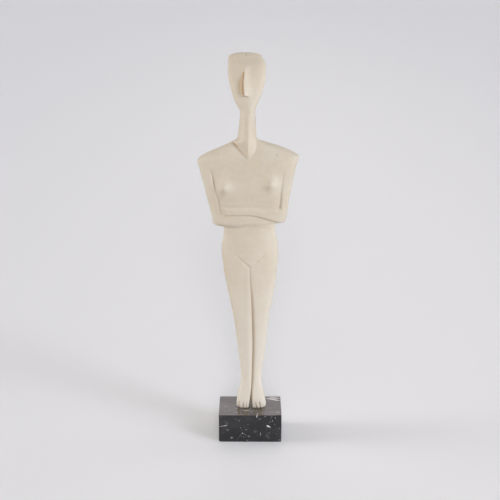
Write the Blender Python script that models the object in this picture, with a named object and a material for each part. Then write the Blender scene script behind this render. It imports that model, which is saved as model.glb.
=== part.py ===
"""Cycladic figurine: a standing woman with folded arms, one piece of cream stone on a black marble block.

The origin is the centre of the block's underside, +Z is up and the figure faces -Y.
Lengths in this script are millimetres; they become metres where the meshes are made.
The figure is one skin of level rings. Each ring takes its width from the side outlines and its depth from the
front and back profiles, and the carving is then pushed into or out of that skin. Below the ankles the ring
splits in two, one loop for each foot.
"""

import bpy
import numpy as np

MM = 0.001

# The block
PLINTH_WIDTH = 64.0
PLINTH_DEPTH = 45.0
PLINTH_HEIGHT = 30.0
PLINTH_CHAMFER = 0.5
FOOT_CLEARANCE = 0.3

# The figure's main levels, measured from the block's underside
SOLE = PLINTH_HEIGHT + FOOT_CLEARANCE
FEET_PART = 38.5
NECK_BASE = 311.0
CHIN = 337.0
CROWN_EDGE = 387.2
CROWN_RISE = 4.4
CROWN_Y = 7.2

# Side outlines as (height, x): the viewer's left is -X
LEFT_EDGE = (
    (SOLE, -12.9), (33.0, -14.1), (44.0, -12.5), (52.0, -10.6), (60.0, -9.5), (67.0, -10.0), (85.0, -11.8),
    (125.0, -16.8), (163.0, -23.9), (180.0, -27.0), (201.0, -28.6), (213.0, -27.0), (223.8, -26.4),
    (224.6, -34.6), (226.0, -37.2), (231.0, -38.0), (264.0, -45.6), (285.0, -51.0), (288.5, -51.9),
    (291.2, -50.8), (293.7, -47.3), (301.3, -31.7), (307.1, -19.2), (310.8, -13.3), (319.0, -12.0),
    (335.0, -10.5), (338.5, -11.1), (345.0, -14.8), (352.0, -17.4), (360.0, -19.6), (368.0, -21.3),
    (376.0, -22.0), (384.0, -22.0), (CROWN_EDGE, -21.3),
)
RIGHT_EDGE = (
    (SOLE, 15.2), (33.0, 16.2), (42.0, 14.6), (51.0, 12.3), (62.0, 11.6), (79.0, 13.6), (92.0, 15.3),
    (125.0, 18.3), (146.0, 22.0), (174.0, 26.0), (196.0, 27.7), (206.0, 26.8), (216.0, 24.6), (226.8, 23.3),
    (227.6, 30.5), (228.6, 33.6), (231.5, 34.8), (251.0, 37.6), (270.0, 41.2), (284.0, 43.9), (290.6, 45.9),
    (293.4, 46.5), (296.0, 43.3), (303.0, 28.3), (307.0, 15.0), (309.4, 7.4), (312.0, 5.3), (322.0, 5.0),
    (329.0, 4.5), (334.0, 3.2), (338.5, 3.2), (345.4, 6.6), (352.0, 9.8), (360.0, 12.1), (368.0, 13.8),
    (375.0, 14.2), (380.0, 13.8), (384.0, 12.3), (CROWN_EDGE, 10.4),
)

# The middle line of the front: nose, neck ridge, navel line and the cleft between the legs
MIDDLE = (
    (SOLE, 1.1), (60.0, 1.5), (117.0, 1.5), (153.0, 0.7), (187.0, -0.9), (222.0, -1.8), (265.0, -2.6),
    (330.0, -2.6), (CHIN, -3.4), (352.0, -5.6), (368.0, -5.3), (383.0, -4.6), (CROWN_EDGE, -4.8),
)
# The middle line of the back: rear cleft and spine
SPINE_LINE = ((SOLE, 1.1), (117.0, 1.3), (187.0, -0.5), (240.0, -2.2), (320.0, -3.4), (CROWN_EDGE, -4.6))

# Lines that run down between arm and chest, and on as the outer third of each leg and the sides of the head
LEFT_LANE = (
    (SOLE, -11.1), (45.0, -9.4), (65.0, -6.8), (125.0, -11.5), (200.0, -20.5), (223.0, -20.5), (235.9, -28.5),
    (255.9, -32.8), (275.8, -37.3), (284.0, -39.3), (292.0, -38.0), (300.0, -26.0), (306.0, -17.0),
    (311.5, -10.6), (335.0, -7.8), (352.0, -13.0), (370.0, -15.5), (CROWN_EDGE, -15.0),
)
RIGHT_LANE = (
    (SOLE, 10.1), (45.0, 9.8), (65.0, 8.6), (125.0, 12.5), (200.0, 20.0), (217.0, 18.5), (230.0, 25.5),
    (241.0, 28.3), (262.0, 29.6), (283.0, 30.6), (291.0, 30.5), (300.0, 22.0), (306.0, 12.0), (311.5, 3.0),
    (335.0, 0.8), (352.0, 4.5), (370.0, 8.0), (CROWN_EDGE, 5.5),
)

# Front and back profiles as (height, y)
FRONT = (
    (SOLE, -6.2), (32.5, -7.0), (37.0, -6.6), (46.0, -3.8), (57.0, -1.3), (64.0, -0.8), (80.0, -1.4),
    (105.0, -2.8), (132.0, -5.4), (160.0, -6.6), (185.0, -7.8), (203.0, -8.6), (221.0, -7.6), (238.0, -8.2),
    (262.0, -10.8), (280.0, -10.6), (292.0, -8.9), (300.0, -6.4), (307.0, -4.6), (NECK_BASE, -4.2),
    (321.0, -4.6), (332.0, -7.4), (340.0, -8.4), (350.0, -6.9), (365.0, -3.7), (381.0, -0.4),
    (CROWN_EDGE, 2.8),
)
BACK = (
    (SOLE, 2.0), (37.0, 6.5), (46.0, 11.8), (54.0, 13.3), (64.0, 12.4), (74.0, 12.2), (100.0, 14.2),
    (131.0, 12.6), (165.0, 15.0), (186.0, 16.6), (202.0, 15.6), (221.0, 12.0), (238.0, 12.2), (265.0, 14.2),
    (285.0, 14.2), (300.0, 12.0), (311.0, 9.0), (325.0, 7.2), (CHIN, 7.4), (350.0, 10.0), (368.0, 12.8),
    (381.0, 13.0), (CROWN_EDGE, 11.6),
)
# How boxy each section is: 2 is an ellipse, more is squarer, less is keeled
FRONT_FULLNESS = (
    (SOLE, 3.2), (50.0, 2.5), (70.0, 2.2), (130.0, 2.2), (185.0, 2.4), (222.0, 2.6), (232.0, 3.0),
    (285.0, 3.0), (300.0, 2.4), (NECK_BASE, 1.8), (330.0, 1.7), (345.0, 1.9), (362.0, 2.3), (CROWN_EDGE, 2.5),
)
BACK_FULLNESS = (
    (SOLE, 2.6), (70.0, 2.1), (130.0, 2.2), (185.0, 2.3), (222.0, 2.5), (285.0, 2.8), (314.0, 2.0),
    (CROWN_EDGE, 2.2),
)

# Cleft between the legs, front and rear, as (height, depth) and (height, half width)
CLEFT_TOP = 187.0
CLEFT_DEPTH = (
    (60.0, 5.0), (95.0, 4.4), (120.0, 3.4), (140.0, 2.2), (160.0, 1.3), (180.0, 0.9), (CLEFT_TOP, 0.0),
)
CLEFT_REACH = ((SOLE, 2.6), (64.0, 2.8), (110.0, 3.2), (140.0, 2.8), (CLEFT_TOP, 1.8))
REAR_CLEFT_TOP = 206.0
REAR_CLEFT_DEPTH = ((64.0, 3.6), (110.0, 3.2), (165.0, 3.0), (195.0, 1.5), (REAR_CLEFT_TOP, 0.0))
REAR_CLEFT_REACH = ((SOLE, 3.0), (110.0, 3.0), (REAR_CLEFT_TOP, 4.0))
# Between these heights the front cleft opens from a cusp between the feet to a V between the shins
CUSP_TO_V = (44.0, 58.0)
# The feet: where front and rear cleft meet, how thick the web between them is, and the gap below it
FEET_MEET_Y = 3.6
FEET_WEB = 0.4
ANKLE = 54.0
FEET_GAP = 4.0
FEET_GAP_FULL = 33.5

# Grooves between arms and chest: how far they reach to each side, where they start, and where they fade out
ARM_GROOVE_DEPTH = 4.2
ARM_GROOVE_TO_CHEST = 9.0
ARM_GROOVE_TO_ARM = 3.0
LEFT_GROOVE_START = (236.0, 243.0)
RIGHT_GROOVE_START = (242.0, 249.0)
ARM_GROOVE_FADE = (270.0, 286.0)
# The folded forearms, as (x, height) lines
UPPER_FOREARM_TOP = ((-30.0, 245.2), (-3.0, 245.8), (12.0, 245.1), (27.0, 243.4), (38.0, 242.0))
FOREARM_SEAM = (
    (-28.0, 236.8), (-14.0, 237.8), (-3.0, 237.9), (4.0, 236.5), (15.0, 234.0), (28.0, 229.6), (35.0, 227.4),
)
LOWER_FOREARM_FOOT = (
    (-38.0, 227.2), (-26.0, 225.6), (-17.0, 225.7), (-7.0, 227.4), (1.0, 228.0), (12.0, 226.9), (22.0, 224.6),
)
UPPER_FOREARM_RISE = 3.2
LOWER_FOREARM_RISE = 2.7
FOREARM_BEVEL = 5.0
ARM_STEP = 3.0
LEFT_ARM_FADE = (232.0, 262.0)
RIGHT_ARM_FADE = (238.0, 272.0)
LOWER_FOREARM_END = (20.0, 28.0)
SEAM_CUT = 1.4
SEAM_REACH = 2.2

# Breasts as (x, height)
BREASTS = ((-23.6, 265.0), (18.0, 265.4))
BREAST_RADIUS = 9.0
BREAST_RISE = 3.0

# The neck and its V-shaped root: side lines, ridge, and the heights where it turns from hollow to keeled
NECK_V_TIP = 293.2
NECK_LEFT = (
    (NECK_V_TIP - 1.5, -3.0), (299.1, -9.6), (304.0, -14.0), (308.0, -17.4), (312.0, -13.6), (319.0, -12.0),
    (335.0, -10.5), (352.0, -17.4),
)
NECK_RIGHT = (
    (NECK_V_TIP - 1.5, -2.0), (295.0, 1.0), (299.0, 3.9), (305.0, 5.2), (312.0, 5.3), (329.0, 4.5),
    (335.0, 3.2), (352.0, 9.8),
)
NECK_KEEL = ((NECK_V_TIP, -9.1), (315.0, -9.3), (330.0, -9.1), (340.0, -8.4), (350.0, -6.9))
NECK_KEELED = (303.0, 312.0)
NECK_INTO_FACE = (326.0, 346.0)
NECK_PROUD = 0.3
NECK_LEFT_CUT = 0.9
NECK_LEFT_CUT_REACH = 2.8
NECK_RIGHT_CUT = 0.25
NECK_RIGHT_CUT_REACH = 2.4

# The nose
NOSE_TOP = 382.5
NOSE_TIP = 354.5
NOSE_FOOT = 351.6
NOSE_RISE = 5.4
NOSE_HALF_WIDTH = 4.6
NOSE_RIDGE_HALF_WIDTH = 0.9

# The cut triangle below the belly, as (height, x) lines
TRIANGLE_LEFT = ((181.5, -1.0), (188.9, -8.5), (196.3, -16.3))
TRIANGLE_RIGHT = ((182.5, 1.2), (188.9, 7.8), (196.0, 15.0))
TRIANGLE_SIDE_SPAN = (183.5, 194.0)
TRIANGLE_TOP = 196.6
TRIANGLE_TOP_SPAN = (-13.0, 11.0)
TRIANGLE_SIDE_REACH = 2.4
TRIANGLE_TOP_REACH = 1.6
TRIANGLE_LEFT_CUT = 0.45
TRIANGLE_RIGHT_CUT = 0.3
TRIANGLE_TOP_CUT = 0.12

# The back: spine groove, seat and arm lines
SPINE_CUT = 1.3
SPINE_REACH = 5.0
SPINE_SPAN = (212.0, 292.0)
SEAT_HEIGHT = 187.0
SEAT_X = 11.5
SEAT_HALF_WIDTH = 12.0
SEAT_HALF_HEIGHT = 17.0
SEAT_RISE = 1.8
ARM_LINE_X = ((220.0, 27.3), (284.0, 36.3))
ARM_LINE_SPAN = (234.0, 270.0)
ARM_LINE_CUT = 2.6
ARM_LINE_REACH = 4.5

# Toes: grooves between them as (x, depth)
TOE_GROOVES = (
    (-11.1, 1.0), (-9.2, 0.5), (-7.0, 1.0), (-4.3, 0.5), (6.3, 1.0), (8.2, 0.6), (10.1, 1.0), (13.2, 0.6),
)
TOE_ROOT = 41.0
TOE_GROOVE_REACH = 0.8

# Rings and columns of the skin
RING_STEPS = (
    (46.0, 0.8), (70.0, 1.6), (180.0, 2.4), (200.0, 1.2), (221.0, 1.8), (250.0, 0.7), (288.0, 1.5),
    (313.0, 0.8), (334.0, 1.8), (342.0, 1.0), (CROWN_EDGE, 1.1),
)
INNER_COLUMNS = 22
OUTER_COLUMNS = 12
BACK_COLUMNS = 20
CROWN_RINGS = 7
FIGURINE_TRIANGLES = 9200


def curve(points, at):
    """Value of a smooth curve through (position, value) points that never overshoots them."""
    position, value = np.array(points, dtype=float).T
    span = np.diff(position)
    slope = np.diff(value) / span
    tangent = np.concatenate(([slope[0]], np.zeros(len(slope) - 1), [slope[-1]]))
    same_way = slope[:-1] * slope[1:] > 0.0
    before = slope[:-1][same_way]
    after = slope[1:][same_way]
    weight_before = (2.0 * span[1:] + span[:-1])[same_way]
    weight_after = (span[1:] + 2.0 * span[:-1])[same_way]
    blended = (weight_before + weight_after) / (weight_before / before + weight_after / after)
    tangent[1:-1][same_way] = blended
    at = np.clip(at, position[0], position[-1])
    index = np.clip(np.searchsorted(position, at) - 1, 0, len(span) - 1)
    t = (at - position[index]) / span[index]
    rise = value[index] * (1.0 - t) ** 2 * (1.0 + 2.0 * t) + value[index + 1] * t**2 * (3.0 - 2.0 * t)
    bend = t * (1.0 - t) * span[index] * (tangent[index] * (1.0 - t) - tangent[index + 1] * t)
    return rise + bend


def step_up(value, low, high):
    """0 below low, 1 above high, with a soft change between them."""
    t = np.clip((value - low) / (high - low), 0.0, 1.0)
    return t * t * (3.0 - 2.0 * t)


def window(value, low, high, soft):
    """1 between low and high, fading to 0 over soft on both sides."""
    return step_up(value, low - soft, low) * (1.0 - step_up(value, high, high + soft))


def bulge(across, fullness):
    """Height, 1 at the middle and 0 at both ends, of a superellipse arch over -1 to 1."""
    inside = np.clip(1.0 - np.abs(across) ** fullness, 0.0, 1.0)
    return inside ** (1.0 / fullness)


def crease(distance, reach):
    """Depth, 1 at the line, of the cusp between two round forms that meet there."""
    t = np.clip(np.abs(distance) / reach, 0.0, 1.0)
    return 1.0 - np.sqrt(1.0 - (1.0 - t) ** 2)


def groove(distance, reach):
    """Depth, 1 at the line, of a soft V cut."""
    t = np.clip(np.abs(distance) / reach, 0.0, 1.0)
    return (1.0 - t) ** 1.5


def cleft(distance, reach, z):
    """Depth, 1 at the line, of the cleft: a soft V between the legs, and a cusp between the feet."""
    cusp = crease(distance, reach)
    return cusp + (groove(distance, reach) - cusp) * step_up(z, *CUSP_TO_V)


def ring_heights():
    """Levels of the rings, from the soles to the edge of the crown."""
    heights = [SOLE]
    for top, step in RING_STEPS:
        start = heights[-1]
        count = max(1, round((top - start) / step))
        heights.extend(start + (top - start) * (i + 1) / count for i in range(count))
    return np.array(heights)


def arm_grooves(x, z):
    """How far the grooves between the arms and the chest go in."""
    depth = np.zeros_like(x)
    sides = ((LEFT_LANE, -1.0, LEFT_GROOVE_START), (RIGHT_LANE, 1.0, RIGHT_GROOVE_START))
    for lane, arm_side, start in sides:
        toward_arm = (x - curve(lane, z)) * arm_side
        chest = np.clip(1.0 + toward_arm / ARM_GROOVE_TO_CHEST, 0.0, 1.0) ** 2.2
        arm = np.clip(1.0 - toward_arm / ARM_GROOVE_TO_ARM, 0.0, 1.0) ** 1.3
        length = step_up(z, *start) * (1.0 - step_up(z, *ARM_GROOVE_FADE))
        depth += ARM_GROOVE_DEPTH * np.where(toward_arm < 0.0, chest, arm) * length
    return depth


def forearms(x, z):
    """How far the folded forearms stand out, with the valley between them."""
    top = curve(UPPER_FOREARM_TOP, x)
    seam = curve(FOREARM_SEAM, x)
    foot = curve(LOWER_FOREARM_FOOT, x)
    from_left_groove = x - curve(LEFT_LANE, z)
    left_arm = 1.0 - step_up(from_left_groove, -ARM_STEP, 0.0)
    left_arm *= 1.0 - step_up(z, *LEFT_ARM_FADE)
    right_arm = step_up(x - curve(RIGHT_LANE, z), 0.0, ARM_STEP)
    right_arm *= 1.0 - step_up(z, *RIGHT_ARM_FADE)
    upper = step_up(top - z, -1.6, FOREARM_BEVEL - 1.6) * step_up(from_left_groove, 0.0, ARM_STEP)
    upper = UPPER_FOREARM_RISE * np.maximum(upper, right_arm)
    lower = np.maximum(1.0 - step_up(z - seam, 0.0, 2.0), left_arm) * step_up(z - foot, -1.2, 3.6)
    lower *= LOWER_FOREARM_RISE * (1.0 - step_up(x, *LOWER_FOREARM_END))
    rise = np.where(z > seam, np.maximum(upper, lower), lower)
    valley = SEAM_CUT * groove(z - seam, SEAM_REACH)
    valley *= step_up(x, -29.0, -25.0) * (0.25 + 0.75 * step_up(x, -24.0, -8.0))
    return rise - valley


def breasts(x, z):
    """Two low cones with soft tips."""
    rise = np.zeros_like(x)
    for breast_x, breast_z in BREASTS:
        distance = np.hypot(x - breast_x, z - breast_z) / BREAST_RADIUS
        rise += BREAST_RISE * (0.75 * np.exp(-2.2 * distance**2) + 0.25 * np.exp(-12.0 * distance**2))
    return rise


def neck(x, z, surface):
    """The keeled neck, and its root running down into the chest as a V with a cut along its left arm."""
    middle = curve(MIDDLE, z)
    is_left = x < middle
    edge = np.where(is_left, curve(NECK_LEFT, z), curve(NECK_RIGHT, z))
    across = np.clip((x - middle) / (edge - middle), 0.0, 1.2)
    keeled = 1.0 - bulge(np.minimum(across, 1.0), 1.4)
    hollow = np.where(is_left, across**0.85, across**1.1)
    profile = hollow + (keeled - hollow) * step_up(z, *NECK_KEELED)
    keel = curve(NECK_KEEL, z)
    lifted = keel + (surface - NECK_PROUD - keel) * profile
    present = 1.0 - step_up(across, 0.85, 1.15)
    present *= step_up(z, NECK_V_TIP - 3.0, NECK_V_TIP) * (1.0 - step_up(z, *NECK_INTO_FACE))
    joined = surface + (np.minimum(lifted, surface) - surface) * present
    left_cut = NECK_LEFT_CUT * groove(x - curve(NECK_LEFT, z), NECK_LEFT_CUT_REACH)
    right_cut = NECK_RIGHT_CUT * groove(x - curve(NECK_RIGHT, z), NECK_RIGHT_CUT_REACH)
    return joined + (left_cut + right_cut) * window(z, NECK_V_TIP, NECK_BASE - 3.0, 2.0)


def nose(x, z):
    """A long wedge with near-parallel sides, tallest just above its foot."""
    along = np.clip((NOSE_TOP - z) / (NOSE_TOP - NOSE_TIP), 0.0, 1.0)
    height = NOSE_RISE * (0.2 + 0.8 * along) * step_up(z, NOSE_FOOT - 0.6, NOSE_TIP - 0.6)
    height *= 1.0 - step_up(z, NOSE_TOP - 4.0, NOSE_TOP + 1.5)
    ridge = NOSE_RIDGE_HALF_WIDTH * (0.6 + 0.4 * along)
    half_width = NOSE_HALF_WIDTH * (0.8 + 0.2 * along)
    flank = (np.abs(x - curve(MIDDLE, z)) - ridge) / (half_width - ridge)
    return height * (1.0 - step_up(flank, -0.25, 1.1))


def belly_lines(x, z):
    """The cut triangle below the belly."""
    left = TRIANGLE_LEFT_CUT * groove(x - curve(TRIANGLE_LEFT, z), TRIANGLE_SIDE_REACH)
    right = TRIANGLE_RIGHT_CUT * groove(x - curve(TRIANGLE_RIGHT, z), TRIANGLE_SIDE_REACH)
    top = TRIANGLE_TOP_CUT * groove(z - TRIANGLE_TOP, TRIANGLE_TOP_REACH)
    return (left + right) * window(z, *TRIANGLE_SIDE_SPAN, 2.0) + top * window(x, *TRIANGLE_TOP_SPAN, 4.0)


def toes(x, z):
    """The short grooves between the toes."""
    depth = np.zeros_like(x)
    for groove_x, cut in TOE_GROOVES:
        depth += cut * groove(x - groove_x, TOE_GROOVE_REACH) * (1.0 - step_up(z, TOE_ROOT - 5.0, TOE_ROOT))
    return depth


def front_surface(x, z):
    """The y of the front at x and z, carving and all."""
    left = curve(LEFT_EDGE, z)
    right = curve(RIGHT_EDGE, z)
    middle = curve(MIDDLE, z)
    front = curve(FRONT, z)
    rim = (front + curve(BACK, z)) / 2.0
    across = np.where(x < middle, (middle - x) / (middle - left), (x - middle) / (right - middle))
    y = rim + (front - rim) * bulge(across, curve(FRONT_FULLNESS, z))
    carved = neck(x, z, y)
    carved = carved + arm_grooves(x, z) - forearms(x, z) - breasts(x, z) - nose(x, z)
    carved = carved + belly_lines(x, z) + toes(x, z)
    inside = 1.0 - np.clip(across, 0.0, 1.0) ** 8
    return y + (carved - y) * inside


def back_surface(x, z):
    """The y of the back at x and z, with its spine, its arm lines and its seat."""
    left = curve(LEFT_EDGE, z)
    right = curve(RIGHT_EDGE, z)
    spine = curve(SPINE_LINE, z)
    back = curve(BACK, z)
    rim = (curve(FRONT, z) + back) / 2.0
    across = np.where(x < spine, (spine - x) / (spine - left), (x - spine) / (right - spine))
    y = rim + (back - rim) * bulge(across, curve(BACK_FULLNESS, z))
    carved = y - SPINE_CUT * groove(x - spine, SPINE_REACH) * window(z, *SPINE_SPAN, 14.0)
    for side in (-1.0, 1.0):
        seat = np.hypot((x - spine - side * SEAT_X) / SEAT_HALF_WIDTH, (z - SEAT_HEIGHT) / SEAT_HALF_HEIGHT)
        carved = carved + SEAT_RISE * np.exp(-2.0 * seat**2)
        arm_line = spine + side * curve(ARM_LINE_X, z)
        cut = ARM_LINE_CUT * groove(x - arm_line, ARM_LINE_REACH)
        carved = carved - cut * window(z, *ARM_LINE_SPAN, 10.0)
    inside = 1.0 - np.clip(across, 0.0, 1.0) ** 8
    return y + (carved - y) * inside


def feet_gap(z):
    """Width of the open wedge between the feet."""
    t = np.clip((FEET_PART - z) / (FEET_PART - FEET_GAP_FULL), 0.0, 1.0)
    return FEET_GAP * t**0.8


def cleft_y(z, y_face, depth_points, meeting_y):
    """The y of a cleft's bottom: its own depth above the ankles, and the feet's meeting line at the feet."""
    own = y_face - np.sign(y_face - meeting_y) * curve(depth_points, z)
    return own + (meeting_y - own) * (1.0 - step_up(z, FEET_PART, ANKLE))


def half_columns(start, lane, rim):
    """The x of one side's front columns, closest together at the middle line, the lane and the rim."""
    inner = np.sin(np.linspace(0.0, 1.0, INNER_COLUMNS + 1) * np.pi / 2.0) ** 1.25
    outer = np.sin(np.linspace(0.0, 1.0, OUTER_COLUMNS + 1) * np.pi / 2.0)
    inner_x = start[:, None] + (lane - start)[:, None] * inner
    outer_x = lane[:, None] + (rim - lane)[:, None] * outer
    return np.hstack((inner_x, outer_x[:, 1:]))


def front_half(z, side):
    """Front points of one side from the middle line to the rim, ring by ring."""
    middle = curve(MIDDLE, z)
    lane = curve(LEFT_LANE if side < 0.0 else RIGHT_LANE, z)
    rim = curve(LEFT_EDGE if side < 0.0 else RIGHT_EDGE, z)
    start = middle + side * feet_gap(z) / 2.0
    x = half_columns(start, lane, rim)
    level = np.broadcast_to(z[:, None], x.shape)
    y = front_surface(x, level)
    bottom = cleft_y(z, curve(FRONT, z), CLEFT_DEPTH, FEET_MEET_Y - FEET_WEB / 2.0)[:, None]
    cusp = cleft(x - start[:, None], curve(CLEFT_REACH, z)[:, None], level)
    y = y + (bottom - curve(FRONT, z)[:, None]) * cusp * (level < CLEFT_TOP)
    return np.stack((x, y, level), axis=-1)


def back_half(z, side):
    """Back points of one side from the rim to the middle line, rim left out, ring by ring."""
    rim = curve(LEFT_EDGE if side < 0.0 else RIGHT_EDGE, z)
    start = curve(SPINE_LINE, z) + side * feet_gap(z) / 2.0
    share = np.sin(np.linspace(1.0, 0.0, BACK_COLUMNS + 1) * np.pi / 2.0)[1:] ** 1.15
    x = start[:, None] + (rim - start)[:, None] * share
    level = np.broadcast_to(z[:, None], x.shape)
    y = back_surface(x, level)
    bottom = cleft_y(z, curve(BACK, z), REAR_CLEFT_DEPTH, FEET_MEET_Y + FEET_WEB / 2.0)[:, None]
    cusp = crease(x - start[:, None], curve(REAR_CLEFT_REACH, z)[:, None])
    y = y + (bottom - curve(BACK, z)[:, None]) * cusp * (level < REAR_CLEFT_TOP)
    return np.stack((x, y, level), axis=-1)


def crown_rings(edge_ring):
    """Rings of the low dome over the head, drawn in from the crown's edge."""
    middle_x = (edge_ring[:, 0].min() + edge_ring[:, 0].max()) / 2.0
    apex = np.array([middle_x, CROWN_Y, CROWN_EDGE + CROWN_RISE])
    rings = []
    for i in range(1, CROWN_RINGS + 1):
        height = np.sin(np.pi / 2.0 * i / (CROWN_RINGS + 0.5))
        share = np.array([bulge(height, 2.2), bulge(height, 1.5), 1.0])
        ring = apex + (edge_ring - apex) * share
        ring[:, 2] = CROWN_EDGE + CROWN_RISE * height
        rings.append(ring)
    return rings


def add_strip(faces, below, above):
    """Faces between two rows of vertex numbers."""
    for i in range(len(below) - 1):
        faces.append((below[i], below[i + 1], above[i + 1], above[i]))


def figurine_mesh():
    """The whole figure as one closed skin."""
    heights = ring_heights()
    right_half = np.hstack((front_half(heights, 1.0), back_half(heights, 1.0)))
    left_half = np.hstack((front_half(heights, -1.0), back_half(heights, -1.0)))
    points = []
    faces = []

    def add_points(rows):
        first = len(points)
        points.extend(map(tuple, rows))
        return list(range(first, len(points)))

    parted = heights < FEET_PART - 0.01
    right_rows = [add_points(half) for half in right_half[parted]]
    left_rows = [add_points(half[::-1]) for half in left_half[parted]]
    joined_rows = []
    for right, left in zip(right_half[~parted], left_half[~parted]):
        front_middle = (right[0] + left[0]) / 2.0
        back_middle = (right[-1] + left[-1]) / 2.0
        ring = np.vstack(([front_middle], right[1:-1], [back_middle], left[-2:0:-1]))
        joined_rows.append(add_points(ring))
    crown = [add_points(ring) for ring in crown_rings(np.array(points)[joined_rows[-1]])]
    joined_rows.extend(crown)

    split = joined_rows[0]
    back_index = right_half.shape[1] - 1
    for rows, upper in ((right_rows, split[: back_index + 1]), (left_rows, split[back_index:] + [split[0]])):
        loops = [row + [row[0]] for row in rows] + [upper + [upper[0]]]
        for below, above in zip(loops, loops[1:]):
            add_strip(faces, below, above)
        faces.append(tuple(reversed(rows[0])))
    loops = [row + [row[0]] for row in joined_rows]
    for below, above in zip(loops, loops[1:]):
        add_strip(faces, below, above)
    faces.append(tuple(joined_rows[-1]))

    mesh = bpy.data.meshes.new("figurine")
    mesh.from_pydata([tuple(MM * value for value in point) for point in points], [], faces)
    mesh.update()
    return mesh


def stone(name, color, roughness):
    """A plain stone material."""
    material = bpy.data.materials.new(name)
    material.use_nodes = True
    shader = material.node_tree.nodes["Principled BSDF"]
    shader.inputs["Base Color"].default_value = (*color, 1.0)
    shader.inputs["Roughness"].default_value = roughness
    shader.inputs["Metallic"].default_value = 0.0
    material.diffuse_color = (*color, 1.0)
    return material


def make_figurine():
    """The figure, its skin thinned to the number of triangles wanted."""
    mesh = figurine_mesh()
    mesh.materials.append(stone("cream_stone", (0.62, 0.55, 0.44), 0.72))
    mesh.shade_smooth()
    figurine = bpy.data.objects.new("figurine", mesh)
    bpy.context.collection.objects.link(figurine)
    triangles = sum(len(polygon.vertices) - 2 for polygon in mesh.polygons)
    decimate = figurine.modifiers.new("fewer_faces", "DECIMATE")
    decimate.ratio = min(1.0, FIGURINE_TRIANGLES / triangles)
    return figurine


def make_plinth():
    """The block, with its edges just broken."""
    half = np.array([PLINTH_WIDTH, PLINTH_DEPTH, PLINTH_HEIGHT]) / 2.0 * MM
    bpy.ops.mesh.primitive_cube_add(size=2.0, location=(0.0, 0.0, half[2]))
    plinth = bpy.context.object
    plinth.name = "plinth"
    for vertex in plinth.data.vertices:
        vertex.co = [side * reach for side, reach in zip(vertex.co, half)]
    plinth.data.materials.append(stone("black_marble", (0.03, 0.03, 0.033), 0.12))
    chamfer = plinth.modifiers.new("chamfer", "BEVEL")
    chamfer.width = PLINTH_CHAMFER * MM
    chamfer.segments = 1
    return plinth


def clear_scene():
    """Empty the scene."""
    for thing in list(bpy.data.objects):
        bpy.data.objects.remove(thing, do_unlink=True)


clear_scene()
make_plinth()
make_figurine()
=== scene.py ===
"""Looks of the cycladic figurine: carved cream stone on a polished black marble block, in a pale studio.

The carving is worked out in millimetres and becomes metres where the meshes are made.
The figure is one skin of level rings, finer than the solid that it stands for. Each ring takes its width
from the side outlines and its depth from the front and back profiles, and the carving is then pushed into or
out of that skin. Low down the ring splits in two, one loop for each foot.

A span says where something starts and where it ends, in height or along x. A third number in it says how
softly it fades at both ends.
"""

import math

import bpy
import numpy as np
from mathutils import Matrix, Vector, noise
from mathutils.bvhtree import BVHTree


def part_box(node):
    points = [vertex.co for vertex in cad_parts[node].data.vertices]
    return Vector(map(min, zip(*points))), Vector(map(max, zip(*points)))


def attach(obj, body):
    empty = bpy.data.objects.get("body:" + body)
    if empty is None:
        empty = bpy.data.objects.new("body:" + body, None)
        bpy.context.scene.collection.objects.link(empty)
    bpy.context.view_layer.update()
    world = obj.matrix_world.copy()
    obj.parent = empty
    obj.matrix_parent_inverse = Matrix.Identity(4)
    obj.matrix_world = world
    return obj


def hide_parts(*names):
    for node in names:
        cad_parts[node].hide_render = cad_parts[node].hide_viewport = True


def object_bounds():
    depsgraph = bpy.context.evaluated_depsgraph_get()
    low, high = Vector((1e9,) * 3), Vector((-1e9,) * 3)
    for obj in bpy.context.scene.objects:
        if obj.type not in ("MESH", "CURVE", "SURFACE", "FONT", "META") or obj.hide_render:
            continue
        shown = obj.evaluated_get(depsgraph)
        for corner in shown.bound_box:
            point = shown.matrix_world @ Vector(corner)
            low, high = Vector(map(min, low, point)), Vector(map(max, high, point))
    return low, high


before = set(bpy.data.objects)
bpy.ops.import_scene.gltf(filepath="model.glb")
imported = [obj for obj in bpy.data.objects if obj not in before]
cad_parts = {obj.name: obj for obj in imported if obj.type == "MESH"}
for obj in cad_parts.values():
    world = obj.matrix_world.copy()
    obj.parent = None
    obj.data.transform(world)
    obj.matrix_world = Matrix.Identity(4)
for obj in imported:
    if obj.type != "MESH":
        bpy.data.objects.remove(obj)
cad_low, cad_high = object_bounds()

MM = 0.001

# The block, as the solid has it
PLINTH_LOW, PLINTH_HIGH = (np.array(corner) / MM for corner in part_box("plinth"))
PLINTH_HEIGHT = PLINTH_HIGH[2] - PLINTH_LOW[2]
FOOT_CLEARANCE = 0.3

# The figure's main levels, measured from the block's underside
SOLE = PLINTH_HEIGHT + FOOT_CLEARANCE
FEET_PART = 38.5
NECK_BASE = 311
CHIN = 337
CROWN_EDGE = 387.2
CROWN_RISE = 4.4
CROWN_Y = 7.2
# How full the crown's dome is along x and along y
CROWN_FULLNESS = (2.2, 1.5)

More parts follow.
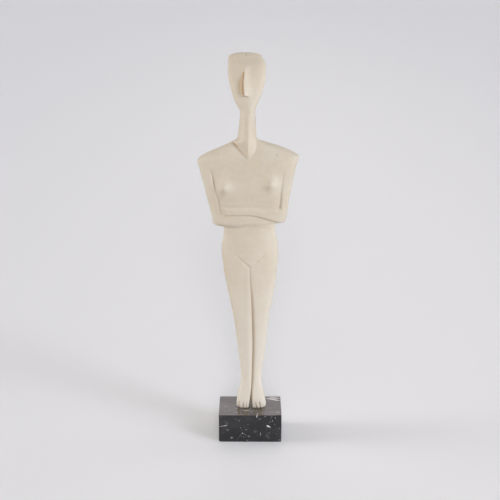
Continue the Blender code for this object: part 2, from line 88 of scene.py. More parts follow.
# Side outlines as (height, x): the viewer's left is -X
LEFT_EDGE = (
    (SOLE, -12.9), (33, -14.1), (44, -12.5), (52, -10.6), (60, -9.5), (67, -10), (85, -11.8),
    (125, -16.8), (163, -23.9), (180, -27), (201, -28.6), (213, -27), (223.8, -26.4),
    (224.6, -34.6), (226, -37.2), (231, -38), (264, -45.6), (285, -51), (288.5, -51.9),
    (291.2, -50.8), (293.7, -47.3), (301.3, -31.7), (307.1, -19.2), (310.8, -13.3), (319, -12),
    (335, -10.5), (338.5, -11.1), (345, -14.8), (352, -17.4), (360, -19.6), (368, -21.3),
    (376, -22), (384, -22), (CROWN_EDGE, -21.3),
)
RIGHT_EDGE = (
    (SOLE, 15.2), (33, 16.2), (42, 14.6), (51, 12.3), (62, 11.6), (79, 13.6), (92, 15.3),
    (125, 18.3), (146, 22), (174, 26), (196, 27.7), (206, 26.8), (216, 24.6), (226.8, 23.3),
    (227.6, 30.5), (228.6, 33.6), (231.5, 34.8), (251, 37.6), (270, 41.2), (284, 43.9), (290.6, 45.9),
    (293.4, 46.5), (296, 43.3), (303, 28.3), (307, 15), (309.4, 7.4), (312, 5.3), (322, 5),
    (329, 4.7), (334, 4.2), (338.5, 4.3), (345.4, 6.9), (352, 9.8), (360, 12.1), (368, 13.8),
    (375, 14.2), (380, 13.8), (384, 12.3), (CROWN_EDGE, 10.4),
)

# The middle line of the front: nose, neck ridge, navel line and the cleft between the legs
MIDDLE = (
    (SOLE, 0.2), (50, 0.9), (67, 1.6), (98, 2.2), (129, 1.5), (149, 0.7), (170, -0.7),
    (187, -1.2), (222, -1.8), (265, -2.6), (330, -2.5), (338, -2.4), (345, -2.9), (351, -4.7),
    (357, -6.2), (364, -6.5), (372, -6), (383, -4.9), (CROWN_EDGE, -4.8),
)
# The middle line of the back: rear cleft and spine
SPINE_LINE = ((SOLE, 0.6), (117, 1.3), (187, -0.5), (240, -2.2), (320, -3.4), (CROWN_EDGE, -4.6))

# Lines that run down between arm and chest, and on as the outer third of each leg and the sides of the head
LEFT_LANE = (
    (SOLE, -11.1), (45, -9.4), (65, -6.8), (125, -11.5), (200, -20.5), (223, -20.5), (235.9, -28.5),
    (255.9, -32.8), (275.8, -37.3), (284, -39.3), (292, -38), (300, -26), (306, -17),
    (311.5, -10.6), (335, -7.8), (352, -13), (370, -15.5), (CROWN_EDGE, -15),
)
RIGHT_LANE = (
    (SOLE, 10.1), (45, 9.8), (65, 8.6), (125, 12.5), (200, 20), (217, 18.5), (230, 25),
    (241, 27.4), (263, 29.4), (279, 31.7), (291, 32.6), (300, 22), (306, 12), (311.5, 3),
    (335, 0.8), (352, 4.5), (370, 8), (CROWN_EDGE, 5.5),
)

# Front and back profiles as (height, y)
FRONT = (
    (SOLE, -6.2), (32.5, -7), (37, -6.6), (46, -3.8), (57, -1.3), (64, -0.8), (80, -1.4),
    (105, -2.8), (132, -5.4), (160, -6.6), (185, -7.8), (203, -8.6), (221, -7.6), (238, -8.2),
    (262, -10.8), (280, -10.8), (292, -9.5), (300, -7.5), (307, -5.4), (NECK_BASE, -4.5),
    (321, -4.6), (332, -7.4), (340, -8.2), (350, -7.4), (365, -4.3), (381, -0.9),
    (CROWN_EDGE, 2.8),
)
BACK = (
    (SOLE, 2), (37, 6.5), (46, 11.8), (54, 13.3), (64, 12.4), (74, 12.2), (100, 14.2),
    (131, 12.6), (165, 15), (186, 16.6), (202, 15.6), (221, 12), (238, 12.2), (265, 14.2),
    (285, 14.2), (300, 12), (311, 9), (325, 7.2), (CHIN, 7.4), (350, 10), (368, 12.8),
    (381, 13), (CROWN_EDGE, 11.6),
)
# How boxy each section is: 2 is an ellipse, more is squarer, less is keeled
FRONT_FULLNESS = (
    (SOLE, 3.2), (50, 2.5), (70, 2.2), (130, 2.2), (185, 2.1), (200, 1.9), (214, 1.85),
    (222, 2.1), (232, 2.8), (285, 3), (300, 2.4), (308, 1.9), (314, 1.35), (330, 1.35),
    (338, 1.7), (345, 2.2), (352, 2.4), (364, 2.7), (CROWN_EDGE, 2.7),
)
BACK_FULLNESS = (
    (SOLE, 2.6), (70, 2.1), (130, 2.2), (185, 2.3), (222, 2.5), (285, 2.8), (314, 2),
    (CROWN_EDGE, 2.2),
)
# How sharply the carving ends at the rim, and how sharp the bottom of a cut line is
RIM_SHARPNESS = 8
GROOVE_BEND = 1.5

# Cleft between the legs, front and rear, as (height, depth) and (height, half width)
CLEFT_TOP = 187
CLEFT_DEPTH = (
    (60, 1.4), (95, 1.8), (120, 1.7), (140, 1.3), (160, 0.9), (180, 0.6), (CLEFT_TOP, 0),
)
LEFT_CLEFT_REACH = ((SOLE, 3), (44, 2.9), (64, 4.2), (110, 5.8), (140, 5.2), (CLEFT_TOP, 2.2))
RIGHT_CLEFT_REACH = ((SOLE, 2.6), (64, 3.6), (110, 4.4), (140, 3.8), (CLEFT_TOP, 1.8))
REAR_CLEFT_TOP = 206
REAR_CLEFT_DEPTH = ((64, 3.6), (110, 3.2), (165, 3), (195, 1.5), (REAR_CLEFT_TOP, 0))
REAR_CLEFT_REACH = ((SOLE, 3), (110, 3), (REAR_CLEFT_TOP, 4))
# Between these heights the front cleft opens from a cusp between the feet to a V between the shins, whose
# sides bend this much
CUSP_TO_V = (44, 58)
CLEFT_BEND = 1.7
# The feet: where front and rear cleft meet, how thick the web between them is, and the gap below it
FEET_MEET_Y = 1.2
FEET_WEB = 0.4
ANKLE = 54
FEET_GAP = 1.6
FEET_GAP_FULL = 33.5
FEET_GAP_BEND = 0.8

# Grooves between arms and chest: depth and reach toward the chest by height, how the chest bends in, the
# reach toward the arm, the share of the depth that is a steep wall there, and the heights where each starts
LEFT_GROOVE = {
    "side": -1,
    "lane": LEFT_LANE,
    "depth": ((236, 0.3), (250, 0.75), (268, 1.75), (286, 2.3)),
    "to_chest": ((247, 3.2), (262, 8)),
    "bend": 2.2,
    "to_arm": 2.4,
    "wall_share": 1,
    "start": (235, 241),
}
RIGHT_GROOVE = {
    "side": 1,
    "lane": RIGHT_LANE,
    "depth": ((240, 0.9), (256, 1.7), (286, 2.6)),
    "to_chest": ((246, 7), (262, 12)),
    "bend": 1.6,
    "to_arm": 1.1,
    "wall_share": 0.38,
    "start": (238, 245),
}
ARM_RECOVERY = 9
ARM_GROOVE_FADE = (270, 286)
# The folded forearms, as (x, height) lines
UPPER_FOREARM_TOP = ((-30, 244.6), (-3, 245.2), (12, 244.6), (27, 243.2), (38, 242))
FOREARM_SEAM = (
    (-28, 236), (-14, 236.9), (-3, 237), (4, 236), (15, 233.2), (28, 228.8), (35, 226.9),
)
LOWER_FOREARM_FOOT = (
    (-38, 227.2), (-26, 224.6), (-17, 224.2), (-7, 225.2), (1, 225.8), (12, 224.2), (22, 220.6),
)
UPPER_FOREARM_RISE = 2.4
UPPER_FOREARM_BEVEL = 4
UPPER_FOREARM_FULLNESS = 1.8
LOWER_FOREARM_RISE = 1.2
LOWER_FOREARM_LEAN = 0.9
# Distances over which their edges rise or fall: from a groove, from the foot line, along x, or in height
UPPER_FOREARM_START = (0, 6)
LOWER_FOREARM_EDGE = (-1.8, 3.6)
LOWER_FOREARM_TUCK = (0, 2)
LOWER_FOREARM_END = (-16, 36)
LEFT_ARM_EDGE = (-2.4, 0.4)
RIGHT_ARM_EDGE = (0, 3)
LEFT_ARM_FADE = (232, 262)
RIGHT_ARM_FADE = (238, 272)
# The seam where the upper forearm lies on the lower one, shallow at its left end
SEAM_CUT = 0.2
SEAM_REACH = 2.2
SEAM_EDGE = (-1.3, 0.7)
SEAM_START = (-27, -20)
SEAM_DEEPENING = (-24, -8)
SEAM_SHALLOW_SHARE = 0.55

# Breasts as (x, height)
BREASTS = ((-25.8, 264.6), (19.4, 267.2))
BREAST_RADIUS = 11
BREAST_RISE = 4.6
# Each is a wide and a narrow swelling, as (share of the rise, narrowness)
BREAST_SWELLINGS = ((0.6, 2.2), (0.4, 6.5))

# The neck and its V-shaped root: side lines, ridge, and the heights where it turns from hollow to keeled
NECK_V_TIP = 293.2
NECK_LEFT = (
    (NECK_V_TIP - 1.5, -3), (299.1, -9.6), (304, -14), (308, -17.4), (312, -13.6), (319, -12),
    (335, -10.5), (352, -17.4),
)
NECK_RIGHT = (
    (NECK_V_TIP - 1.5, -2), (295, 1), (299, 3.9), (305, 5.2), (312, 5.3), (329, 4.7),
    (335, 4.2), (352, 9.8),
)
NECK_KEEL = ((NECK_V_TIP, -9.9), (297, -11.4), (315, -11.1), (330, -9.9), (340, -8.5), (350, -7.4))
NECK_KEELED = (303, 312)
NECK_KEEL_FULLNESS = 1.25
NECK_HOLLOW_LEFT = 0.85
NECK_HOLLOW_RIGHT = 1.1
NECK_TIP_SPAN = (NECK_V_TIP - 3, NECK_V_TIP)
NECK_INTO_FACE = (330, 347)
NECK_PROUD = 0.3
# Where its flanks end, as shares of its half width
NECK_FLANK = (0.85, 1.15)
NECK_WIDEST = 1.2
NECK_LEFT_CUT = ((NECK_V_TIP, 0.05), (297, 0.4), (301, 1.4), (306, 2.6))
NECK_LEFT_CUT_REACH = 3.2
NECK_RIGHT_CUT = 0.25
NECK_RIGHT_CUT_REACH = 2.4
NECK_CUT_SPAN = (NECK_V_TIP, NECK_BASE - 3, 2)

# The nose: its rise and width at the brow as shares of those at the tip, and its underside, which spreads
# into a soft slope on the right
NOSE_TOP = 382.5
NOSE_TIP = 354.5
NOSE_RISE = 5.4
NOSE_BROW = (378.5, 384)
NOSE_BROW_RISE = 0.2
NOSE_BROW_WIDTH = 0.75
NOSE_UNDERSIDE = (351, 353.9)
NOSE_UNDERSIDE_SPREAD = (5, 7)
NOSE_SOFT_SIDE = (0.5, 5)
NOSE_LEFT_REACH = 4.5
NOSE_LEFT_BEND = 1.15
NOSE_RIGHT_REACH = 8.5
NOSE_RIGHT_BEND = 1.6

# The cut triangle below the belly: its sides as (line of (height, x), span, depth), and its top
TRIANGLE_SIDES = (
    (((182.3, -1), (188.9, -7.6), (195.2, -14.4), (197, -16.3)), (184, 194.6, 2), 0.95),
    (((184, 1), (188, 5), (194.2, 12.3), (197, 15.6)), (188.8, 193.4, 2), 0.9),
)
TRIANGLE_SIDE_REACH = 2.4
TRIANGLE_TOP = 196.6
TRIANGLE_TOP_SPAN = (-9, 4, 4)
TRIANGLE_TOP_REACH = 1.6
TRIANGLE_TOP_CUT = 0.18

# The back: spine groove, seat and arm lines
SPINE_CUT = 1.3
SPINE_REACH = 5
SPINE_SPAN = (212, 292, 14)
SEAT_HEIGHT = 187
SEAT_X = 11.5
SEAT_HALF_WIDTH = 12
SEAT_HALF_HEIGHT = 17
SEAT_RISE = 1.8
SEAT_NARROWNESS = 2
ARM_LINE_X = ((220, 27.3), (284, 36.3))
ARM_LINE_SPAN = (234, 270, 10)
ARM_LINE_CUT = 2.6
ARM_LINE_REACH = 4.5

# Toes: grooves between them as (x at the root, x at the sole, depth), and how far back the little toe sits
TOE_GROOVES = (
    (-10.8, -11, 2.3), (-7.3, -7.4, 1.4), (-4.3, -4, 0.7),
    (3.6, 3.8, 0.6), (4.8, 6.7, 1.5), (8.9, 10.6, 1.45), (12.6, 13.6, 0.7),
)
TOE_ROOT = 38.5
TOE_ROOT_FADE = 4
TOE_GROOVE_REACH = 1
LITTLE_TOE_X = (-12, -10.8)
LITTLE_TOE_BACK = 2

# Rings and columns of the skin: the rings as (height, step below it), the columns crowded toward the middle
RING_STEPS = (
    (46, 0.45), (70, 0.9), (180, 1.4), (200, 0.8), (221, 1), (250, 0.42), (288, 0.8),
    (313, 0.45), (334, 0.9), (CROWN_EDGE, 0.62),
)
INNER_COLUMNS = 40
INNER_CROWDING = 1.25
OUTER_COLUMNS = 18
BACK_COLUMNS = 30
BACK_CROWDING = 1.15
CROWN_RINGS = 14

# Unevenness left by rubbing the stone smooth, as (size across, height, seed)
RUBBED = ((17, 0.22, 3), (6, 0.07, 11), (2.2, 0.022, 23))
# Rays that find how closed in the surface is: how far they go, how far off the skin they start, how many
# there are, how far they lean, and how often what they find is smoothed
SHELTER_REACH = 7
SHELTER_START = 0.05
SHELTER_RAYS = 12
SHELTER_LEANS = (25, 50, 72)
SHELTER_ROUNDS = 2

# Small pits and marks in the figure's stone, as (x, y, height) and radius
PITS = (
    ((-4.8, 4, 389.3), 0.8), ((-12.4, 3, 387.3), 0.7), ((-11.4, -0.5, 383.5), 0.5),
    ((25, -8.5, 296.1), 0.8), ((10.7, -9.5, 287.5), 0.6), ((-31.4, -8, 296.4), 0.6),
    ((-6.9, -9, 226.1), 0.6), ((-2.4, -8.5, 339), 0.5), ((-2.2, -8.8, 336.2), 0.6),
    ((8, 14, 262), 0.7), ((-20, 14, 281), 0.6), ((14, 15.5, 190), 0.6),
)

# White flecks on the block's front, as x, height, radii along x, y and z, turn in degrees, and strength
FRONT_FLECKS = (
    (-28.2, 17.7, 4.2, 3, 0.35, -9, 0.55), (-25.2, 18.3, 2.1, 1.5, 0.5, -3, 0.9),
    (18.6, 17.6, 2.4, 1.2, 1, 28, 0.95), (20.4, 16.4, 1.1, 1.2, 0.5, 45, 0.6),
    (10.5, 8.9, 0.4, 1, 2.1, 4, 0.6), (-7.8, 9.6, 0.9, 1, 0.7, 20, 0.6),
    (-4, 13.8, 1.1, 1, 0.6, 10, 0.28), (-9.7, 15.9, 0.8, 0.8, 0.6, 0, 0.24),
    (-1.4, 6, 1.3, 1, 0.9, 0, 0.24), (-18.7, 4.6, 1.7, 1.5, 1.3, 0, 0.24),
    (-22.9, 13.4, 1.9, 1.5, 1.4, 0, 0.11), (-2.1, 19.5, 1.1, 1, 0.9, 0, 0.14),
    (-11, 23.7, 0.4, 1, 1.4, 0, 0.2), (-5.2, 8.2, 0.7, 0.8, 0.5, 30, 0.28),
    (-6.5, 5.3, 0.6, 0.8, 0.6, 0, 0.24), (-3, 1.6, 0.9, 0.8, 0.6, 30, 0.29),
    (22.8, 23.8, 0.6, 1, 1.5, 10, 0.27), (25.7, 27, 0.5, 1, 1.6, 0, 0.25),
    (20.3, 22.3, 1, 1, 0.7, -30, 0.21), (15.2, 28.6, 1.2, 1.5, 0.6, 0, 0.28),
    (30, 15.3, 0.8, 1, 0.7, 0, 0.21), (25.1, 19.5, 0.8, 0.8, 0.5, 20, 0.21),
    (5.3, 11.7, 2.4, 1.5, 1.8, 20, 0.07), (10.1, 25.8, 1.8, 1.5, 1.4, 0, 0.08),
)
# Veins and flecks on its top and edges, as (centre), (radii), (turn about Y, turn about Z), strength
TOP_FLECKS = (
    ((30.4, -22, 2.2), (0.9, 1.2, 0.8), (0, 0), 0.5),
    ((7.1, -21.5, 29), (0.55, 6.5, 2.2), (8, -14), 0.75),
    ((24, 14.9, 29.5), (10.5, 1.9, 2), (0, -23), 1),
    ((25.5, 19, 29.5), (8.5, 1.7, 2), (0, -14), 0.9),
    ((24, 17, 30), (4, 1.6, 1), (0, -22), 0.55),
    ((28.4, -16.2, 30), (2.3, 0.7, 1), (0, 8), 0.55),
    ((-3.6, -11.8, 30), (5, 0.8, 1), (0, 2), 0.75),
    ((1.2, -15.5, 30), (1.6, 3.4, 1), (0, -6), 0.21),
    ((-13.9, -16.5, 30), (0.5, 3.2, 1.5), (0, 12), 0.28),
    ((-13.6, -6.8, 30), (1.6, 0.6, 1), (0, 12), 0.6),
    ((-25.5, -2, 30), (3, 0.8, 1), (0, -34), 0.21),
    ((-21.5, -10.5, 30), (2.6, 0.8, 1), (0, -50), 0.21),
    ((-26, -14, 30), (2.2, 0.9, 1), (0, 20), 0.17),
)
FLECK_EDGE = (0.45, 1.05)

# Brown patina with painted shade, 1 where it is full: how it grows with shelter, as painted shade in
# recesses, and its share on walls that face right, low down between the toes and above them; walls facing
# left, away from the lights, take it all
PATINA_SHADE_NAME = "patina_and_painted_shade"
PATINA_SHADE_SHELTER = (0.04, 0.55)
LEFT_FACING = (0, 0.45)
TOE_WALL_PATINA_SHADE = 0.35
RIGHT_WALL_PATINA_SHADE = 0.05
TOE_WALL_SPAN = (TOE_ROOT, TOE_ROOT + 6)
# Less of the painted shade in the forearms' cuts and just below them
FOREARM_LESS_SHADE = 0.6
FOREARM_SPAN = (219, 243, 3)
# The own places of patina and painted shade lie in front of this y
PATINA_SHADE_FRONT_Y = 2
# Painted shadow with patina beside the nose, on its left: the reach at the brow and how much it grows below,
# its bend and end toward the middle line
NOSE_SHADOW_PATINA = 1
NOSE_SHADOW_REACH = (3.5, 5.5)
NOSE_SHADOW_WIDE = (NOSE_TOP - 18, NOSE_TOP - 7)
NOSE_SHADOW_BEND = 1.5
NOSE_SHADOW_INNER = -1
NOSE_SHADOW_END = (-0.7, 0.1)
NOSE_SHADOW_SPAN = (NOSE_TIP, NOSE_TOP - 9, 2.5)
# Painted shade on the left of the neck, from its edge to its middle line, thinner up from the root, and
# painted shade with patina in the root's cut
NECK_PAINTED_SHADE = 0.2
NECK_SHADE_START = (-0.5, 1)
NECK_SHADE_END = (-1.2, 0)
NECK_SHADE_FOOT = (NECK_V_TIP - 3, NECK_V_TIP + 1)
NECK_SHADE_TOP = (340, 353)
NECK_SHADE_THINNING = 0.65
NECK_SHADE_THIN = (299, 320)
NECK_CUT_SHADE_PATINA = 0.25
NECK_CUT_SHADE_REACH = 3
NECK_CUT_SHADE_SPAN = (297, 307, 3)
# Painted shade just below the forearms' seam, painted shade with patina in the cleft, and painted shade on
# the breasts and along the left leg where they face left
SEAM_PAINTED_SHADE = 0.15
SEAM_SHADE_DROP = 0.7
SEAM_SHADE_REACH = 2.6
SEAM_SHADE_SPAN = (-27, 12, 6)
CLEFT_SHADE_PATINA = 0.42
CLEFT_SHADE_START = (-0.5, 0.3)
CLEFT_SHADE_END = (1.2, 3.4)
CLEFT_SHADE_SPAN = (60, 150, 20)
BREAST_PAINTED_SHADE = 0.15
BREAST_SHADE_FACING = (0.05, 0.5)
LEG_PAINTED_SHADE = 0.25
LEG_SHADE_FACING = (0.45, 0.9)
LEG_SHADE_SPAN = (75, 190, 20)

# Colours, as linear red, green and blue
STONE_PALE = (0.505, 0.445, 0.362)
STONE_WARM = (0.474, 0.408, 0.320)
STONE_LIGHT = (0.535, 0.483, 0.404)
# Painted light: the stone paler toward the feet
STONE_FEET_PAINTED_LIGHT = (0.538, 0.492, 0.424)
STONE_DARK = (0.400, 0.340, 0.264)
# Painted shade: the stone darker on the crown and forehead
STONE_CROWN_PAINTED_SHADE = (0.452, 0.388, 0.308)
# Patina with painted shade in the cuts, and its deepest tone, the painted shadow beside the nose
STONE_PATINA_SHADE = (0.350, 0.232, 0.128)
STONE_DEEP_PATINA_SHADE = (0.270, 0.180, 0.102)
STONE_PIT = (0.250, 0.200, 0.142)
MARBLE_BLACK = (0.009, 0.009, 0.010)
MARBLE_GREY = (0.018, 0.017, 0.019)
MARBLE_WHITE = (0.720, 0.710, 0.700)
MARBLE_HAZE = (0.168, 0.146, 0.159)
# Thinner film around the feet, with a painted reflection and contact shade of them
MARBLE_THIN_FILM_REFLECTION = (0.096, 0.082, 0.044)
PAPER = (0.816, 0.799, 0.814)
PAPER_FAR = (0.678, 0.671, 0.704)

# The shaders' plain values
STONE_SHADER = {
    "Roughness": 0.6,
    "IOR": 1.48,
    "Subsurface Weight": 0.12,
    "Subsurface Radius": (1, 0.62, 0.38),
    "Subsurface Scale": 2.4 * MM,
}
MARBLE_SHADER = {"Roughness": 0.1, "IOR": 1.52}
PAPER_SHADER = {"Roughness": 0.9}
BACKDROP_SHADER = {
    "Roughness": 1,
    "Base Color": (0, 0, 0, 1),
    "Specular IOR Level": 0,
    "Emission Color": (0.97, 0.97, 1, 1),
    "Emission Strength": 0.70,
}
# Clouds in the stone and in the marble, as (size, detail, noise level of 0, noise level of 1, seed)
STONE_WIDE = (26, 4, 0.34, 0.68, 0.3)
STONE_NARROW = (5, 3, 0.38, 0.66, 1.7)
STONE_GRAIN = (0.7, 2, 0.35, 0.7, 2.9)
MARBLE_CLOUD = (14, 5, 0.36, 0.7, 0.9)
HAZE_STREAKS = (3, 3, 0.3, 0.7, 8.8)
FEET_REFLECTION_CLOUD = (2.6, 3, 0.38, 0.56, 2.2)
HAIR_PLACES = (9, 2, 0.52, 0.66, 3.1)
SPECK_PLACES = (6, 2, 0.5, 0.68, 5.3)
FLECK_CLOUD = (0.9, 3, 0.25, 0.75, 7.7)
MARBLE_WORN = (11, 4, 0.35, 0.7, 4.4)
MARBLE_RIPPLE = (3, 2, 0.3, 0.7, 6.1)
# The stone: how strong its clouds and pits are in colour and relief, between which heights its crown takes
# painted shade and its feet painted light, and its fine bumps, as here and in the marble (strength, height)
STONE_LIGHT_SHARE = 0.35
STONE_GRAIN_SHARE = 0.16
CROWN_PAINTED_SHADE = (384 * MM, 366 * MM)
FEET_PAINTED_LIGHT = (50 * MM, 230 * MM)
FEET_PAINTED_LIGHT_SHARE = 0.82
# Where the patina with painted shade turns to its deepest tone
DEEP_PATINA_SHADE = (0.85, 1)
PIT_WIDTH = 1.3
PIT_THROUGH = 4
PIT_EDGE = (0.35, 1)
PIT_SHARE = 0.75
SMALL_PITS_APART = 9
SMALL_PIT_EDGE = (0.02, 0.055)
SMALL_PIT_DEPTH = 0.5
STONE_ROUGH = (0.52, 0.68)
GRAIN_RELIEF = 0.25
CLOUD_RELIEF = 0.5
PIT_RELIEF = 3
STONE_BUMP = (0.5, 0.12 * MM)
# The marble's dusty film on top: how deep it reaches, its streaks, and where it is thinner around the feet,
# with a painted reflection and contact shade of them there
HAZE_DEPTH = 0.35
HAZE_STRETCH = (0.25, 1, 1)
HAZE_SHARE = (0.75, 1)
FEET_REFLECTION_PLACES = ((-6.8, -5, 30), (8.6, -5, 30))
FEET_REFLECTION_SIZE = (7.2, 26, 4)
FEET_REFLECTION_EDGE = (0.82, 1.06)
# Its hairline veins, grey specks and the ragged edges of its flecks
BEND_SIZE = 5
BEND_DETAIL = 3
VEIN_DRIFT = 2.2
FLECK_DRIFT = 0.9
HAIRS_APART = 13
HAIR_EDGE = (0.004, 0.022)
HAIR_SHARE = 0.16
SPECKS_APART = 3.1
SPECK_EDGE = (0.1, 0.26)
SPECK_SHARE = 0.14
FLECK_SHARE = (0.6, 1)
MARBLE_ROUGH = (0.05, 0.15)
MARBLE_BUMP = (0.12, 0.05 * MM)

# The dim room, and the bright wall in it behind the object: where it starts, as parts of a direction
ROOM_COLOUR = (1, 0.95, 0.90)
ROOM_LIGHT = 0.04
WALL_LIGHT = 0.85
WALL_BEHIND = (0.3, 0.85)
WALL_ABOVE = (0.1, 0.3)
# The far screen, in metres
BACKDROP_RADIUS = 19
BACKDROP_HEIGHT = 12
BACKDROP_STEPS = 72
# Lights: name, azimuth (0 from the front, 90 from the viewer's right), elevation, spread, strength, colour,
# and whether polished stone mirrors it
LIGHTS = (
    ("key_light", 56, 32, 20, 0.75, (0.935, 1, 1.10), True),
    ("front_light", 1, 20, 16, 1.69, (1.01, 1, 1), False),
    ("high_front_light", 4, 50, 50, 0.36, (1.01, 1, 1), True),
    ("low_right_light", 62, 7, 26, 1.78, (0.955, 1, 1.06), True),
    ("low_right_rear_light", 112, 9, 30, 0.86, (0.97, 1, 1.02), True),
    ("left_light", -97, 31, 30, 0.75, (1, 1, 0.98), False),
    ("low_left_light", -90, 8, 20, 1.82, (1, 1, 0.98), True),
    ("rear_light", 180, 50, 30, 0.22, (1, 1, 0.97), True),
)

# The block's broken edges
BLOCK_EDGE_RADIUS = 0.18
BLOCK_EDGE_WEAR = 0.2
BLOCK_WEAR_SIZE = 5
BLOCK_FOOT_WEAR = 0.12
BLOCK_END_STEPS = (0, 0.06, 0.14, 0.24, 0.36, 0.52, 0.75, 1.1, 1.6, 2.3)
BLOCK_STEP = 1
# Worn or chipped spots as (centre, size, depth)
CHIPS = (
    ((-32, -22.5, 0), (1.6, 1.6, 1.4), 1.1), ((28.5, -22.5, 30), (3.4, 1.4, 1.2), 0.7),
    ((31.5, -22.5, 0.5), (1.3, 1.3, 1.2), 0.6), ((-32, 22.5, 30), (1, 1, 1), 0.5),
    ((12, 22.5, 30), (1.5, 0.8, 0.8), 0.35), ((-32, -6, 0), (0.8, 1.6, 0.8), 0.4),
    ((32, 9, 30), (0.7, 1.2, 0.7), 0.35), ((-9, -22.5, 0), (1.3, 0.7, 0.7), 0.3),
)

# The floor, in metres. Its paper is brightest at one place and falls into shade away from it, halfway where
# the distance, measured in the size along each axis, is this
FLOOR_SIZE = 60
PAPER_BRIGHT_PLACE = (0.12, 0.3, 0)
PAPER_BRIGHT_SIZE = (0.75, 4, 1)
PAPER_HALFWAY = 0.9
# The camera, in metres and degrees
CAMERA_LENS = 72.08
CAMERA_SENSOR = 36
CAMERA_CLIP = (0.01, 100)
CAMERA_PLACE = (-0.0006, -0.9513, 0.484)
CAMERA_PITCH = 16.68
CAMERA_ROLL = 0.15


def curve(points, at):
    """Value of a smooth curve through (position, value) points that never overshoots them."""
    position, value = np.array(points, dtype=float).T
    span = np.diff(position)
    slope = np.diff(value) / span
    tangent = np.concatenate(([slope[0]], np.zeros(len(slope) - 1), [slope[-1]]))
    same_way = slope[:-1] * slope[1:] > 0.0
    before = slope[:-1][same_way]
    after = slope[1:][same_way]
    weight_before = (2.0 * span[1:] + span[:-1])[same_way]
    weight_after = (span[1:] + 2.0 * span[:-1])[same_way]
    blended = (weight_before + weight_after) / (weight_before / before + weight_after / after)
    tangent[1:-1][same_way] = blended
    at = np.clip(at, position[0], position[-1])
    index = np.clip(np.searchsorted(position, at) - 1, 0, len(span) - 1)
    t = (at - position[index]) / span[index]
    rise = value[index] * (1.0 - t) ** 2 * (1.0 + 2.0 * t) + value[index + 1] * t**2 * (3.0 - 2.0 * t)
    bend = t * (1.0 - t) * span[index] * (tangent[index] * (1.0 - t) - tangent[index + 1] * t)
    return rise + bend


def step_up(value, low, high):
    """0 below low, 1 above high, with a soft change between them."""
    t = np.clip((value - low) / (high - low), 0.0, 1.0)
    return t * t * (3.0 - 2.0 * t)


def between(value, start, end):
    """0 before the start span and after the end span, 1 between them, changing softly inside each."""
    return step_up(value, *start) * (1.0 - step_up(value, *end))


def window(value, low, high, soft):
    """1 between low and high, fading to 0 over soft on both sides."""
    return between(value, (low - soft, low), (high, high + soft))


def bulge(across, fullness):
    """Height, 1 at the middle and 0 at both ends, of a superellipse arch over -1 to 1."""
    inside = np.clip(1.0 - np.abs(across) ** fullness, 0.0, 1.0)
    return inside ** (1.0 / fullness)


def crease(distance, reach):
    """Depth, 1 at the line, of the cusp between two round forms that meet there."""
    t = np.clip(np.abs(distance) / reach, 0.0, 1.0)
    return 1.0 - np.sqrt(1.0 - (1.0 - t) ** 2)


def groove(distance, reach, bend=GROOVE_BEND):
    """Depth, 1 at the line, of a soft V cut."""
    t = np.clip(np.abs(distance) / reach, 0.0, 1.0)
    return (1.0 - t) ** bend


def cleft(distance, reach, z):
    """Depth, 1 at the line, of the cleft: a soft V between the legs, and a cusp between the feet."""
    cusp = crease(distance, reach)
    return cusp + (groove(distance, reach, CLEFT_BEND) - cusp) * step_up(z, *CUSP_TO_V)


def ring_heights():
    """Levels of the rings, from the soles to the edge of the crown."""
    heights = [SOLE]
    for top, step in RING_STEPS:
        start = heights[-1]
        count = max(1, round((top - start) / step))
        heights.extend(start + (top - start) * (i + 1) / count for i in range(count))
    return np.array(heights)


def arm_grooves(x, z):
    """How far the grooves between the arms and the chest go in."""
    depth = np.zeros_like(x)
    for shape in (LEFT_GROOVE, RIGHT_GROOVE):
        toward_arm = shape["side"] * (x - curve(shape["lane"], z))
        chest = np.clip(1.0 + toward_arm / curve(shape["to_chest"], z), 0.0, 1.0) ** shape["bend"]
        wall = np.clip(1.0 - toward_arm / shape["to_arm"], 0.0, 1.0)
        slope = np.clip(1.0 - toward_arm / ARM_RECOVERY, 0.0, 1.0)
        arm = shape["wall_share"] * wall + (1.0 - shape["wall_share"]) * slope
        cut = curve(shape["depth"], z) * np.where(toward_arm < 0.0, chest, arm)
        depth += cut * between(z, shape["start"], ARM_GROOVE_FADE)
    return depth


def forearms(x, z):
    """How far the folded forearms stand out, with the seam between them."""
    top = curve(UPPER_FOREARM_TOP, x)
    seam = curve(FOREARM_SEAM, x)
    foot = curve(LOWER_FOREARM_FOOT, x)
    from_left_groove = x - curve(LEFT_LANE, z)
    left_arm = 1.0 - step_up(from_left_groove, *LEFT_ARM_EDGE)
    left_arm *= 1.0 - step_up(z, *LEFT_ARM_FADE)
    right_arm = step_up(x - curve(RIGHT_LANE, z), *RIGHT_ARM_EDGE)
    right_arm *= 1.0 - step_up(z, *RIGHT_ARM_FADE)
    upper = bulge(np.clip(1.0 - (top - z) / UPPER_FOREARM_BEVEL, 0.0, 1.0), UPPER_FOREARM_FULLNESS)
    upper *= step_up(from_left_groove, *UPPER_FOREARM_START)
    upper = UPPER_FOREARM_RISE * np.maximum(upper, right_arm)
    lower = np.maximum(1.0 - step_up(z - seam, *LOWER_FOREARM_TUCK), left_arm)
    lower *= step_up(z - foot, *LOWER_FOREARM_EDGE)
    lower *= LOWER_FOREARM_RISE * (1.0 - step_up(x, *LOWER_FOREARM_END))
    lower *= 1.0 + LOWER_FOREARM_LEAN * np.clip((seam - z) / (seam - foot), 0.0, 1.0)
    rise = lower + (np.maximum(upper, lower) - lower) * step_up(z - seam, *SEAM_EDGE)
    deepening = SEAM_SHALLOW_SHARE + (1.0 - SEAM_SHALLOW_SHARE) * step_up(x, *SEAM_DEEPENING)
    return rise - SEAM_CUT * groove(z - seam, SEAM_REACH) * (step_up(x, *SEAM_START) * deepening)


